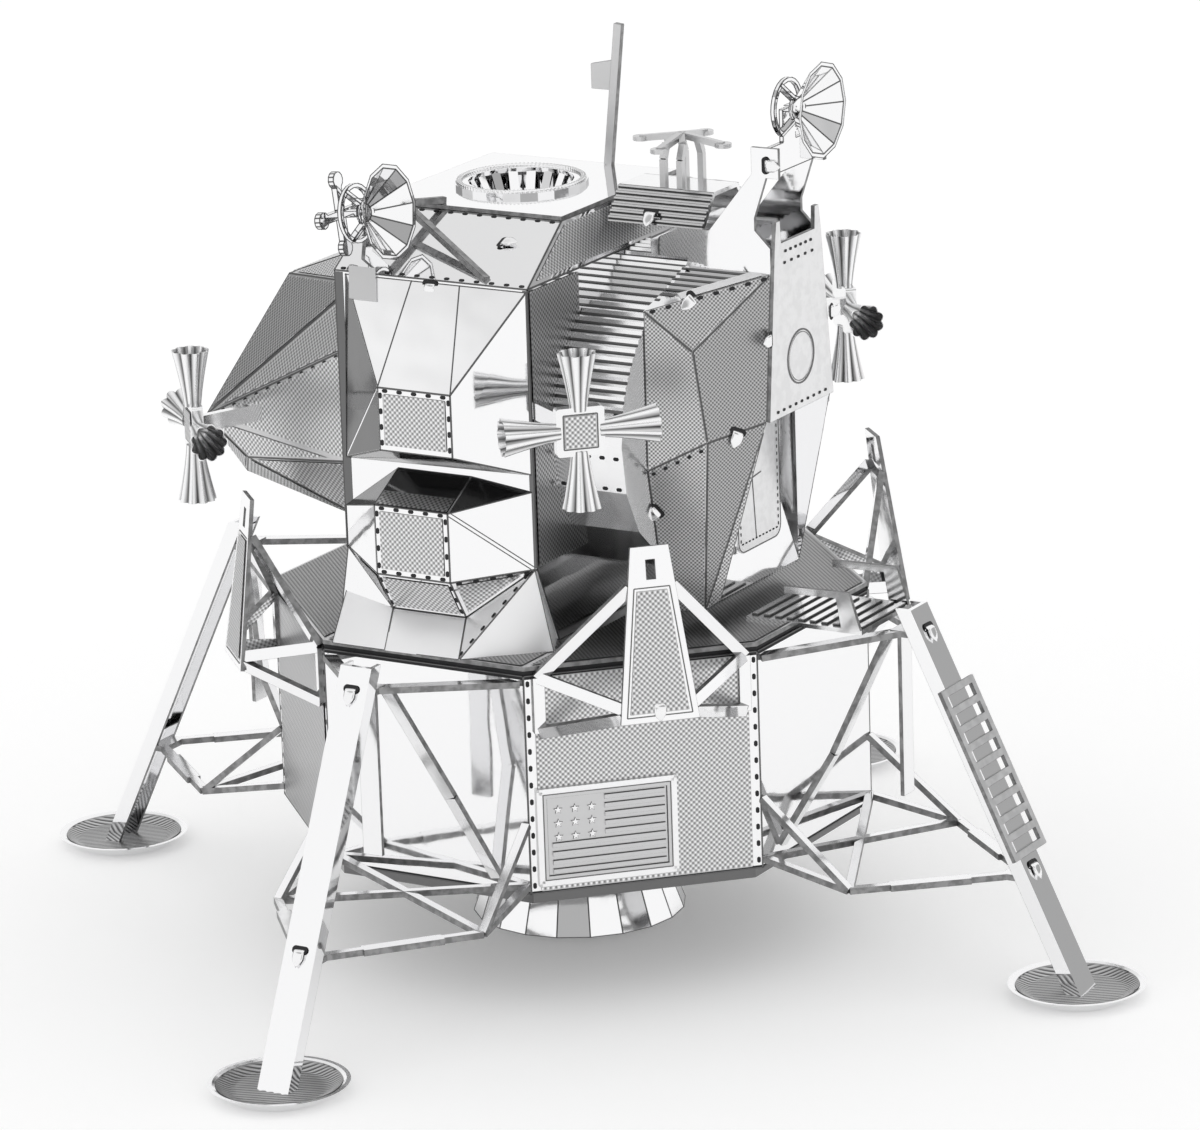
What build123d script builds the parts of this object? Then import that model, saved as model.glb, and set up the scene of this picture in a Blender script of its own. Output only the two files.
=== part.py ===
from build123d import *
import os
from itertools import combinations
from math import cos, pi, radians, sin, sqrt

# Display model of a two-stage lunar lander, folded from thin bright sheet. Millimetres.
# Frame: +Z up, the floor at z = 0, the middle between the footpads at x = y = 0.
# The front with hatch and ladder looks along -Y. The lander's own right side is -X.

os.makedirs("parts", exist_ok=True)

# Sheet of the folded boxes and plates, and the thicker strip of straps and struts
SHEET = 0.3
STRIP = 0.45

# Descent stage: an octagon whose four leg sides alternate with four slanting sides
SIDE = 16.37
SLANT = 16.82
BODY_LOW = 9.03
BODY_TALL = 15.93
DECK_GAP = 0.34
DECK_GAP_DEEP = 0.7
BASE_TALL = 0.95
BASE_INSET = 0.8
BELL_RIM = 7.8
BELL_NECK = 5.2
BELL_FACETS = 20
BELL_OFF_FLOOR = 0.9

# Legs: each outer face runs straight from the footpad up to the leg's top
LEG_REACH = 40.5
LEG_HEEL = 0.9
LEG_LEAN = 0.4806
LEG_PROUD = 1.4
LEG_WIDE = 2.5
LEG_DEEP = 1.1
PAD_RADIUS = 4.9
PAD_SOLE = 3.6
PAD_TALL = 0.9

# Outrigger straps at the head of a leg, truss at its knee
RIG_DROP = 0.4
RIG_WIDE = 0.9
RIG_ROOT_DROP = 0.56
RIG_BRIDGE = 1.3
BRACE_WIDE = 0.8
BRACE_LOW = 0.97
BRACE_LOW_SHARE = 0.66
HANGER_WIDE = 1.5
HANGER_LONG = 12.1
TRUSS_DROP = 0.63
TRUSS_SPREAD = 8.4
TRUSS_REACH = 27.05
TRUSS_WIDE = 0.6
TRUSS_SLEEVE = 1.0
TRUSS_HEAD = 5.07

# Ladder and porch over the front leg
LADDER_DROP = 5.4
LADDER_TALL = 11.7
LADDER_WIDE = 4.8
LADDER_RAIL = 0.5
LADDER_RUNGS = 8
PORCH_WIDE = 7.5
PORCH_FRONT = 26.0
PORCH_REAR = 16.8
PORCH_RIBS = 10
RAIL_TALL = 2.8

# Plume deflectors (half width, stand-off and height over the deck at top and foot), flag plate
DEFLECTOR_TOP = (1.35, 3.2, 8.7)
DEFLECTOR_LOW = (2.8, 4.8, -3.4)
DEFLECTOR_SLOT = 1.4
BRACKET_SPREAD = 7.4
BRACKET_TALL = 4.0
BRACKET_DROP = 0.16
FLAG_WIDE = 10.1
FLAG_TALL = 7.1
FLAG_UP = 0.57
FLAG_SHIFT = 2.8
FLAG_EDGE = 0.7
FLAG_STRIPES = 9
FLAG_SHORT_STRIPES = 5

# Ascent stage: middle section with its side walls. Its heights are over the deck.
TOP_DECK_Z = 29.1
TOP_DECK_X = 8.1
TOP_DECK_FRONT = -5.4
TOP_DECK_REAR = 10.0
WALL_X = 16.0
WALL_TOP = 25.8
WALL_LOW = 5.8
MID_FRONT = -7.2
MID_REAR = 8.5
MID_FOOT_X = 13.4
PORT_Y = 2.7
PORT_RADIUS = 4.8
PORT_DEEP = 1.8
PORT_RIM = 1.0
PORT_FINS = 18

# Tank bulges: how far the outer squares and the skirt stand out from the wall
BULGE_OUT = 3.5
SKIRT_OUT = 1.6
SKIRT_TOP = 2.2

# Cabin: a barrel with ribs over the top and flat panels round the belly (degrees)
CABIN_X = 13.4
CABIN_Z = 11.6
CABIN_MID = 14.1
CABIN_DEEP = 5.55
RIB_HIGH = 0.22
RIBS = 46
SHOULDER = 14
BELLY = [178, 195, 212, 236, 258, 282, 304, 328, 345, 362]

# Front mask, front plate and the radar channel on the cabin roof
FRONT_OUT = 6.6
PLATE_LOW = 14.9
PLATE_LOW_X = 4.63
PLATE_TOP = 27.0
PRONG = 1.8
ARM_X = 3.35
ARM_LOW = 25.2
ARM_EDGE = 27.9
ARM_HEAD = 7.1
HATCH_LOW = 4.9
HATCH_LOW_X = 5.3
HATCH_IN = 3.1
ROOF_REAR = -6.4
ROOF_FRONT = -14.0
ROOF_RISE = 2.3
ROOF_TOP_X = 1.7
ROOF_RIBS = 6

# Dishes, mast and cross antenna
DISH_FACETS = 12
DISH_RADIUS = 3.4
DISH_DEEP = 1.9
HUB = 0.9
HOOP = 2.1
HOOP_BACK = 0.9
PADDLE = 0.6
ROUND = 24
RADAR_Z = 36.3
SIDE_DISH = (-15.2, 6.1, 29.9)
FEED_REACH = 2.4
FEED_BACK = 2.2
MAST_TALL = 10.4
CROSS_Y = -10.6
CROSS_Z = 33.7
CROSS_HALF = 1.5
CROSS_REACH = 3.3
CROSS_DROOP = 0.5

# Thruster quads
QUAD_X = 18.7
QUAD_BOX = 3.4
QUAD_FRAME = 0.5
NOZZLE_LONG = 4.2
NOZZLE_NECK = 0.65
NOZZLE_MOUTH = 1.7
NOZZLE_FLUTES = 9
FLUTE = 0.13

# Heights and half widths that follow
BODY_TOP = BODY_LOW + BODY_TALL
DECK_LOW = BODY_TOP + DECK_GAP
DECK_TOP = DECK_LOW + SHEET
LEG_TOP = DECK_TOP + LEG_PROUD
RIG_Z = DECK_TOP - RIG_DROP
TRUSS_Z = BODY_LOW - TRUSS_DROP
LADDER_TOP = LEG_TOP - LADDER_DROP
BRACKET_TOP = BODY_TOP - BRACKET_DROP
FLAG_LOW = BODY_LOW + FLAG_UP
HALF_SIDE = SIDE / 2
HALF_BODY = HALF_SIDE + SLANT / sqrt(2)
SLANT_OUT = (HALF_BODY + HALF_SIDE) / sqrt(2)
CABIN_FRONT = MID_FRONT - CABIN_DEEP
PLATE_Y = CABIN_FRONT - FRONT_OUT
MASK_TOP_X = ARM_X + SHEET / 2
ROOF_TOP = ARM_EDGE + ROOF_RISE

# One row per leg: name, turn about Z from the front leg, side of its long brace
LEGS = [
    ("front", 0, -1),
    ("right", -90, 1),
    ("rear", 180, 1),
    ("left", 90, -1),
]

# One row per slanting side: name, turn about Z from a side that looks along +Y
CORNERS = [
    ("right_front", 135),
    ("right_rear", 45),
    ("left_rear", -45),
    ("left_front", -135),
]

# One row per pair of quads: end, y and height of the box, turn, arm's end on the hull
QUADS = [
    ("front", -12.4, 17.2, 45, (15.4, -6.8)),
    ("rear", 18.4, 14.3, -45, (12.6, 17.0)),
]

# One row per side of the lander: sign of X, name
SIDES = [(-1, "right"), (1, "left")]


def vec(p):
    return Vector(*p)


def polygon(points):
    return make_face(Polyline(*points, close=True))


def hull(points):
    """Closed solid over the outermost of a few corner points."""
    pts = [vec(p) for p in points]
    done = set()
    faces = []
    for a, b, c in combinations(range(len(pts)), 3):
        n = (pts[b] - pts[a]).cross(pts[c] - pts[a])
        if n.length < 1e-6:
            continue
        n = n.normalized()
        off = [(p - pts[a]).dot(n) for p in pts]
        if min(off) < -1e-4 and max(off) > 1e-4:
            continue
        if max(off) > 1e-4:
            n = n * -1
        ring = [i for i, v in enumerate(off) if abs(v) < 1e-4]
        if tuple(ring) in done:
            continue
        done.add(tuple(ring))
        mid = sum((pts[i] for i in ring), Vector(0, 0, 0)) / len(ring)
        u = (pts[ring[0]] - mid).normalized()
        ring.sort(key=lambda i: u.get_signed_angle(pts[i] - mid, n))
        k = 0
        while k < len(ring):
            before, here, after = (pts[ring[(k + d) % len(ring)]] for d in (-1, 0, 1))
            if (here - before).cross(after - here).dot(n) > 1e-5:
                k += 1
            else:
                del ring[k]
                k = max(k - 1, 0)
        faces.append(Face(Wire.make_polygon([pts[i] for i in ring])))
    return Solid(Shell(faces))


def both_sides(points):
    """Corner points and their twins across the middle plane."""
    return [(s * x, y, z) for x, y, z in points for s in (-1, 1)]


def plate(points):
    """Flat sheet whose middle plane passes through the corner points."""
    face = Face(Wire.make_polygon([vec(p) for p in points]))
    return extrude(face, amount=SHEET / 2, both=True)


def side_profile(points, wide):
    """Prism across X from an outline of (y, z) points."""
    return extrude(Plane.YZ * polygon(points), amount=wide / 2, both=True)


def strip(p, q, wide, thick=STRIP, flat=(0, 0, 1)):
    """Straight strip from p to q whose broad side looks along flat."""
    p = vec(p)
    q = vec(q)
    along = (q - p).normalized()
    normal = vec(flat) - along * vec(flat).dot(along)
    return Plane(origin=(p + q) / 2, x_dir=along, z_dir=normal) * Box((q - p).length, wide, thick)


def between(p, q, share):
    """The point that lies a share of the way from p to q."""
    return tuple(a + (b - a) * share for a, b in zip(p, q))


def octagon(inset, low, high):
    """The body's octagon pulled in by inset, between two heights."""
    h = HALF_BODY - inset
    s = HALF_SIDE - inset * (sqrt(2) - 1)
    ring = [(-h, -s), (-s, -h), (s, -h), (h, -s), (h, s), (s, h), (-s, h), (-h, s)]
    return Pos(0, 0, low) * extrude(polygon(ring), amount=high - low)


def ring_points(radius, z, sides, flute=0.0):
    """Corners of a many-sided ring at height z; flute moves every other one out or in."""
    ring = []
    for k in range(sides):
        r = radius * (1 + flute * (-1) ** k)
        ring.append(Vector(r * cos(2 * pi * k / sides), r * sin(2 * pi * k / sides), z))
    return ring


def cone_shell(low, high, facets, flute=0.0, wall=SHEET):
    """Open cone of flat facets from (radius, height) low to high, rolled from sheet."""
    sides = 2 * facets if flute else facets
    rings = []
    for radius, z in (low, high):
        rings.append(ring_points(radius, z, sides, flute))
    for radius, z in (high, low):
        rings.append(ring_points(radius - wall, z, sides, flute))
    faces = []
    for here, there in zip(rings, rings[1:] + rings[:1]):
        for k in range(sides):
            after = (k + 1) % sides
            faces.append(Face(Wire.make_polygon([here[k], here[after], there[after], there[k]])))
    return Solid(Shell(faces))


def disc(radius, thick, sides=ROUND):
    """Round plate with flat sides, lying in the XY plane."""
    return extrude(RegularPolygon(radius, sides), amount=thick / 2, both=True)


def save(name, shape):
    export_step(shape, f"parts/{name}.step")


def save_over_deck(name, shape):
    save(name, Pos(0, 0, DECK_TOP) * shape)


# Descent stage


def descent_body():
    """Eight-sided box with a step on top that keeps the deck clear of its sides."""
    return octagon(0, BODY_LOW, BODY_TOP) + octagon(DECK_GAP_DEEP, BODY_TOP, DECK_LOW)


def engine_bell():
    """Faceted bell that hangs under the base."""
    top = BODY_LOW - BASE_TALL
    return cone_shell((BELL_RIM, BELL_OFF_FLOOR), (BELL_NECK, top), BELL_FACETS)


# Landing gear, drawn for the front leg


def leg_out(z):
    """How far the leg's outer face lies from the middle at height z."""
    return LEG_REACH + LEG_HEEL - LEG_LEAN * (z - SHEET)


def leg_in(z):
    """The same for the open edge of the leg's channel."""
    return leg_out(z) - LEG_DEEP * sqrt(1 + LEG_LEAN**2)


def leg():
    """Channel with its broad face outward, cut level where it stands on the pad."""
    wall = SHEET * sqrt(1 + LEG_LEAN**2)
    outer = []
    room = []
    for z in (SHEET, LEG_TOP):
        outer.append((-leg_out(z), z))
        room.append((wall - leg_out(z), z))
    for z in (LEG_TOP, SHEET):
        outer.append((-leg_in(z), z))
        room.append((wall - leg_in(z), z))
    return side_profile(outer, LEG_WIDE) - side_profile(room, LEG_WIDE - 2 * SHEET)


def footpad():
    """Shallow round dish with a flat sole."""
    outline = [
        (0, 0),
        (PAD_SOLE, 0),
        (PAD_RADIUS, PAD_TALL),
        (PAD_RADIUS - SHEET, PAD_TALL),
        (PAD_SOLE - SHEET / 2, SHEET),
        (0, SHEET),
    ]
    return Pos(0, -LEG_REACH, 0) * revolve(Plane.XZ * polygon(outline), Axis.Z)


def outrigger(hand, keep_clear):
    """Two straps to the body's shoulders, a bent brace to its foot, a hanging strip."""
    head = leg_in(RIG_Z)
    inner = -head + RIG_BRIDGE
    rig = strip((0, -head - SHEET, RIG_Z), (0, inner, RIG_Z), LEG_WIDE)
    for s in (-1, 1):
        root = (s * (HALF_SIDE - RIG_WIDE / 2), -HALF_BODY, BODY_TOP - RIG_ROOT_DROP)
        rig += strip(root, (s * (LEG_WIDE - RIG_WIDE) / 2, -head + RIG_BRIDGE / 2, RIG_Z), RIG_WIDE)
    top = (hand * LEG_WIDE / 2, inner, RIG_Z)
    low = (hand * HALF_SIDE * BRACE_LOW_SHARE, -HALF_BODY, BODY_LOW + BRACE_LOW)
    x, y, z = between(top, low, 0.55)
    bend = (x + hand * BRACE_WIDE, y - BRACE_WIDE, z)
    rig += strip(top, bend, BRACE_WIDE, STRIP, (0, -1, 0))
    rig += strip(bend, low, BRACE_WIDE, STRIP, (0, -1, 0))
    hook = inner - STRIP
    rig += strip((0, hook, RIG_Z), (0, hook, RIG_Z - HANGER_LONG), HANGER_WIDE, SHEET, (0, -1, 0))
    for piece in keep_clear:
        rig -= piece
    return rig


def truss(keep_clear):
    """Level frame of strips from the leg's knee to the foot of the body."""
    knee = leg_in(TRUSS_Z)
    frame = strip((0, -knee - SHEET, TRUSS_Z), (0, 1 - knee, TRUSS_Z), LEG_WIDE)
    for s in (-1, 1):
        tip = (s * LEG_WIDE / 3, 0.5 - knee, TRUSS_Z)
        bend = (s * TRUSS_SPREAD, -TRUSS_REACH, TRUSS_Z)
        root = (s * (HALF_SIDE - TRUSS_WIDE / 2), -HALF_BODY, BODY_LOW + TRUSS_WIDE)
        head = (s * (HALF_SIDE - TRUSS_WIDE / 3), -HALF_BODY, BODY_LOW + TRUSS_HEAD)
        far_root = (-root[0], root[1], root[2])
        for p, q in ((tip, bend), (bend, root), (bend, far_root), (bend, head)):
            frame += strip(p, q, TRUSS_WIDE)
        frame += strip(between(tip, bend, 0.25), between(tip, bend, 0.75), TRUSS_SLEEVE)
    for piece in keep_clear:
        frame -= piece
    return frame


def ladder():
    """Rails and rungs cut from one plate that lies on the leg's outer face."""
    top = Vector(0, -leg_out(LADDER_TOP), LADDER_TOP)
    low = LADDER_TOP - LADDER_TALL
    foot = Vector(0, -leg_out(low), low)
    along = (foot - top).normalized()
    out = Vector(0, along.Z, -along.Y)
    long = (foot - top).length
    frame = Box(long, LADDER_WIDE, SHEET)
    pitch = (long - LADDER_RAIL) / (LADDER_RUNGS + 1)
    for k in range(LADDER_RUNGS + 1):
        x = (LADDER_RAIL - long) / 2 + (k + 0.5) * pitch
        frame -= Pos(x, 0, 0) * Box(pitch - LADDER_RAIL, LADDER_WIDE - 2 * LADDER_RAIL, 1)
    return Plane(origin=(top + foot) / 2 + out * SHEET / 2, x_dir=along, z_dir=out) * frame


def porch():
    """Ribbed floor on the deck with a bent rail on each side."""
    long = PORCH_FRONT - PORCH_REAR
    mid = -(PORCH_FRONT + PORCH_REAR) / 2
    floor = Pos(0, mid, DECK_TOP + SHEET / 2) * Box(PORCH_WIDE, long, SHEET)
    pitch = long / PORCH_RIBS
    for k in range(PORCH_RIBS):
        y = -PORCH_FRONT + (k + 0.5) * pitch
        floor += Pos(0, y, DECK_TOP + SHEET) * Box(PORCH_WIDE - 1, pitch / 2, SHEET)
    low = DECK_TOP + SHEET / 2
    top = low + RAIL_TALL
    rail = [
        (0.1 - PORCH_FRONT, low),
        (1.0 - PORCH_FRONT, top),
        (6.1 - PORCH_FRONT, top - 0.1),
        (6.1 - PORCH_FRONT, top - 0.6),
        (2.0 - PORCH_FRONT, top - 0.5),
        (1.6 - PORCH_FRONT, low),
    ]
    for s in (-1, 1):
        floor += Pos(s * (PORCH_WIDE - SHEET) / 2, 0, 0) * side_profile(rail, SHEET)
    return floor


# Plates on the slanting sides, drawn for a side that looks along +Y


def on_deflector(share, s):
    """A point behind the deflector's edge, a share of the way down it."""
    wide, out, z = between(DEFLECTOR_TOP, DEFLECTOR_LOW, share)
    return (s * (wide - STRIP / 2), SLANT_OUT + out - STRIP / 2, DECK_TOP + z)


def plume_deflector(body):
    """Tapered plate with a slot, held off the side by straps and two bracket frames."""
    corners = []
    for wide, out, z in (DEFLECTOR_TOP, DEFLECTOR_LOW):
        corners.append((wide, SLANT_OUT + out, DECK_TOP + z))
        corners.insert(0, (-wide, SLANT_OUT + out, DECK_TOP + z))
    shield = plate(corners)
    _, out, z = between(DEFLECTOR_TOP, DEFLECTOR_LOW, 0.13)
    slot = Box(DEFLECTOR_SLOT / 2, 4 * SHEET, DEFLECTOR_SLOT)
    shield -= Pos(0, SLANT_OUT + out, DECK_TOP + z) * slot
    for s in (-1, 1):
        high = (s * BRACKET_SPREAD, SLANT_OUT + STRIP / 4, BRACKET_TOP)
        low = (s * BRACKET_SPREAD, SLANT_OUT + STRIP / 4, BRACKET_TOP - BRACKET_TALL)
        runs = [
            (on_deflector(0.23, s), high),
            (on_deflector(0.92, s), high),
            (on_deflector(0.97, s), low),
            (high, low),
        ]
        for p, q in runs:
            shield += strip(p, q, BRACE_WIDE, STRIP, (0, 1, 0))
    return shield - body


def flag_plate():
    """Framed plate with raised stripes; the corner beside the short ones is plain."""
    mid = FLAG_LOW + FLAG_TALL / 2
    face = SLANT_OUT + SHEET
    wide = FLAG_WIDE - 2 * FLAG_EDGE
    tall = FLAG_TALL - 2 * FLAG_EDGE
    flag = Pos(0, SLANT_OUT + SHEET / 2, mid) * Box(FLAG_WIDE, SHEET, FLAG_TALL)
    flag -= Pos(0, face, mid) * Box(wide, SHEET, tall)
    pitch = tall / FLAG_STRIPES
    for k in range(FLAG_STRIPES):
        share = 0.5 if k >= FLAG_STRIPES - FLAG_SHORT_STRIPES else 0.94
        x = (wide * share - wide * 0.96) / 2
        z = FLAG_LOW + FLAG_EDGE + (k + 0.5) * pitch
        flag += Pos(x, face - SHEET / 4, z) * Box(wide * share, SHEET / 2, pitch * 0.45)
    return Pos(FLAG_SHIFT, 0, 0) * flag


# Ascent stage


def midsection():
    """Box between the side walls, sloping in to the top deck, with the docking pocket."""
    corners = [
        (TOP_DECK_X, TOP_DECK_FRONT, TOP_DECK_Z - SHEET),
        (TOP_DECK_X, TOP_DECK_REAR, TOP_DECK_Z - SHEET),
        (WALL_X, MID_FRONT, WALL_TOP),
        (WALL_X, MID_REAR, WALL_TOP),
        (WALL_X, MID_FRONT, WALL_LOW),
        (WALL_X, MID_REAR, WALL_LOW),
        (MID_FOOT_X, MID_FRONT, 0),
        (MID_FOOT_X, MID_REAR, 0),
    ]
    pocket = Pos(0, PORT_Y, TOP_DECK_Z) * disc(PORT_RADIUS - SHEET, 2 * PORT_DEEP)
    return hull(both_sides(corners)) - pocket


def bulge_upper():
    """Tank cover on the right wall: a square panel held out by slanting facets."""
    out = WALL_X + BULGE_OUT
    corners = [
        (-WALL_X, 7.6, WALL_TOP - 0.2),
        (-WALL_X, -7.1, WALL_TOP - 0.2),
        (-out, 3.1, 18.7),
        (-out, -2.8, 18.7),
        (-out, 3.1, 14.2),
        (-out, -2.8, 14.2),
        (-WALL_X, 8.2, 12.3),
        (-WALL_X, -7.0, 12.6),
    ]
    return hull(corners)


def bulge_lower(middle):
    """Lower tank cover, whose skirt of flat panels stands on the deck."""
    out = WALL_X + BULGE_OUT
    skirt = WALL_X + SKIRT_OUT
    cover = [
        (-WALL_X, 3.9, 12.0),
        (-WALL_X, -2.1, 12.0),
        (-WALL_X, 8.4, 8.8),
        (-WALL_X, -7.0, 11.4),
        (-out, 3.8, 10.2),
        (-out, -2.2, 10.2),
        (-out, 3.8, 5.2),
        (-out, -2.2, 5.2),
        (-WALL_X, 8.4, WALL_LOW),
        (-WALL_X, -7.0, WALL_LOW),
        (-skirt, 3.8, SKIRT_TOP),
        (-skirt, -2.2, SKIRT_TOP),
        (-WALL_X, 3.8, SKIRT_TOP),
        (-WALL_X, -2.2, SKIRT_TOP),
    ]
    panels = [
        (-skirt, 3.8, SKIRT_TOP),
        (-skirt, -2.2, SKIRT_TOP),
        (-skirt, 8.4, 0),
        (-skirt, -2.2, 0),
        (-WALL_X, 8.4, WALL_LOW),
        (-WALL_X, -7.0, WALL_LOW),
        (-MID_FOOT_X, -7.0, 0),
        (-MID_FOOT_X, 8.4, 0),
    ]
    return hull(cover) - middle + (hull(panels) - middle)


def aft_bay(middle):
    """Wedge-shaped bay on the rear of the middle section."""
    corners = [
        (TOP_DECK_X, TOP_DECK_REAR, WALL_TOP),
        (TOP_DECK_X, 17.5, 23.0),
        (WALL_X - 0.5, MID_REAR, 19.8),
        (WALL_X - 0.5, MID_REAR, 11.8),
        (13.0, 22.0, 13.2),
        (13.5, 18.2, 10.6),
        (11.0, 20.0, 8.8),
        (13.0, MID_REAR, 6.8),
        (13.0, MID_REAR, 24.2),
    ]
    return hull(both_sides(corners)) - middle


def top_deck():
    """Flat sheet with the round docking port."""
    mid = (TOP_DECK_FRONT + TOP_DECK_REAR) / 2
    sheet = Box(2 * TOP_DECK_X, TOP_DECK_REAR - TOP_DECK_FRONT, SHEET)
    sheet = Pos(0, mid, TOP_DECK_Z - SHEET / 2) * sheet
    return sheet - Pos(0, PORT_Y, TOP_DECK_Z) * disc(PORT_RADIUS - SHEET, 2)


def docking_ring():
    """Ring on the deck with fins that slope down into the pocket."""
    rim = disc(PORT_RADIUS, SHEET) - disc(PORT_RADIUS - PORT_RIM, 1)
    ring = Pos(0, PORT_Y, TOP_DECK_Z + SHEET / 2) * rim
    top = (PORT_RADIUS - PORT_RIM * 0.9, 0, TOP_DECK_Z + SHEET / 2)
    low = (PORT_RADIUS * 0.62, 0, TOP_DECK_Z - PORT_DEEP + SHEET / 2)
    fin = strip(top, low, PORT_RADIUS * pi / PORT_FINS * 0.8, SHEET / 2, (1, 0, 1))
    for k in range(PORT_FINS):
        ring += Pos(0, PORT_Y, 0) * Rot(0, 0, 360 * k / PORT_FINS) * fin
    return ring


def cabin():
    """Barrel: every other corner over the top stands out as a rib, the belly is flat panels."""
    outline = []
    for k in range(2 * RIBS + 1):
        a = radians(SHOULDER + (180 - 2 * SHOULDER) * k / (2 * RIBS))
        lift = RIB_HIGH * (k % 2)
        outline.append(((CABIN_X + lift) * cos(a), CABIN_MID + (CABIN_Z + lift) * sin(a)))
    for degrees in BELLY:
        a = radians(degrees)
        outline.append((CABIN_X * cos(a), CABIN_MID + CABIN_Z * sin(a)))
    return Pos(0, MID_FRONT, 0) * extrude(Plane.XZ * polygon(outline), amount=CABIN_DEEP)


def front_mask():
    """Faceted face of the cabin: side panels, window panels and the leaning hatch wall."""
    corners = [
        (MASK_TOP_X, CABIN_FRONT, ARM_LOW),
        (9.8, CABIN_FRONT, 23.4),
        (9.9, CABIN_FRONT, 12.0),
        (6.6, CABIN_FRONT, HATCH_LOW),
        (8.5, CABIN_FRONT - 3.05, 20.5),
        (7.5, CABIN_FRONT - 3.45, 14.0),
        (PLATE_LOW_X, PLATE_Y, PLATE_LOW),
        (MASK_TOP_X, PLATE_Y, ARM_LOW),
        (HATCH_LOW_X, PLATE_Y + HATCH_IN, HATCH_LOW),
    ]
    return hull(both_sides(corners))


def hatch():
    """Round-cornered framed panel on the leaning wall under the front plate."""
    top = Vector(0, PLATE_Y, PLATE_LOW)
    low = Vector(0, PLATE_Y + HATCH_IN, HATCH_LOW)
    along = (low - top).normalized()
    out = Vector(0, along.Z, -along.Y)
    long = (low - top).length
    panel = extrude(RectangleRounded(long * 0.78, PLATE_LOW_X * 1.5, 0.9), amount=SHEET / 2)
    room = extrude(RectangleRounded(long * 0.7, PLATE_LOW_X * 1.3, 0.6), amount=SHEET)
    panel -= Pos(0, 0, SHEET / 4) * room
    return Plane(origin=(top + low) / 2, x_dir=along, z_dir=out) * panel


def front_plate():
    """Tapered plate in front of the windows, with a prong at each top corner."""
    half = [
        (PLATE_LOW_X, PLATE_LOW),
        (ARM_X, PLATE_TOP),
        (ARM_X - 0.3, PLATE_TOP + PRONG),
        (ARM_X - 0.8, PLATE_TOP + PRONG),
        (ARM_X - 0.9, PLATE_TOP + 0.2),
    ]
    outline = half + [(-x, z) for x, z in reversed(half)]
    return Pos(0, PLATE_Y, 0) * extrude(Plane.XZ * polygon(outline), amount=SHEET)


def radar_arm():
    """Side wall of the roof channel, rising in a neck to the head that holds the dish."""
    outline = [
        (CABIN_FRONT + 2.9, ARM_EDGE),
        (CABIN_FRONT + 2.9, ARM_LOW + 0.6),
        (CABIN_FRONT, ARM_LOW + 0.6),
        (CABIN_FRONT, ARM_LOW),
        (PLATE_Y, ARM_LOW),
        (PLATE_Y, PLATE_TOP),
        (PLATE_Y + 1.2, PLATE_TOP + 1.2),
        (PLATE_Y + 1.2, PLATE_TOP + 2.1),
        (PLATE_Y + 0.2, PLATE_TOP + ARM_HEAD - 2.1),
        (PLATE_Y - 0.8, PLATE_TOP + ARM_HEAD - 2.1),
        (PLATE_Y - 0.8, PLATE_TOP + ARM_HEAD),
        (PLATE_Y + 1.3, PLATE_TOP + ARM_HEAD),
        (PLATE_Y + 1.3, PLATE_TOP + ARM_HEAD - 1.9),
        (PLATE_Y + 4.8, ARM_EDGE),
    ]
    return side_profile(outline, SHEET)


def roof():
    """Ribbed cover folded over the radar channel, resting on the walls' upper edges."""
    low = ARM_X + SHEET / 2
    outer = [(low, ARM_EDGE), (ROOF_TOP_X, ROOF_TOP)]
    inner = [(ROOF_TOP_X - SHEET / 2, ROOF_TOP - SHEET), (low - 1.3 * SHEET, ARM_EDGE)]
    outline = outer + [(-x, z) for x, z in outer[::-1] + inner[::-1]] + inner
    long = ROOF_REAR - ROOF_FRONT
    cover = Pos(0, ROOF_REAR, 0) * extrude(Plane.XZ * polygon(outline), amount=long)
    for s in (-1, 1):
        for k in range(ROOF_RIBS):
            x, z = between(outer[0], outer[1], (k + 0.6) / ROOF_RIBS)
            facing = (s * ROOF_RISE, 0, low - ROOF_TOP_X)
            cover += strip((s * x, ROOF_REAR, z), (s * x, ROOF_FRONT, z), SHEET / 2, SHEET, facing)
    return cover


# Antennas


def dish():
    """Faceted cone that opens along +Z, with a hub and a hoop on three spokes behind it."""
    shape = cone_shell((HUB, 0), (DISH_RADIUS, DISH_DEEP), DISH_FACETS)
    shape += Pos(0, 0, -SHEET / 2) * disc(HUB, SHEET)
    shape += Pos(0, 0, -HOOP_BACK) * (disc(HOOP, SHEET) - disc(HOOP - SHEET, 1))
    spoke = strip((HUB - SHEET, 0, 0), (HOOP - SHEET / 2, 0, -HOOP_BACK), SHEET)
    for k in range(3):
        shape += Rot(0, 0, 90 + 120 * k) * spoke
    return shape


def radar_dish():
    """Dish looking forward, on a tongue of the bridge between the two arms' heads."""
    y = PLATE_Y + 0.3
    z = PLATE_TOP + ARM_HEAD - 1.1
    bridge = Pos(0, y, z) * Box(2 * ARM_X - SHEET, SHEET, 2.0)
    tongue = Pos(0, y, (z + RADAR_Z) / 2) * Box(2 * HUB, SHEET, RADAR_Z - z)
    stem = strip((0, y, RADAR_Z), (0, y - HOOP_BACK, RADAR_Z), HUB)
    facing = Plane(origin=(0, y - HOOP_BACK, RADAR_Z), z_dir=(0, -1, 0))
    return bridge + tongue + stem + facing * dish()


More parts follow.
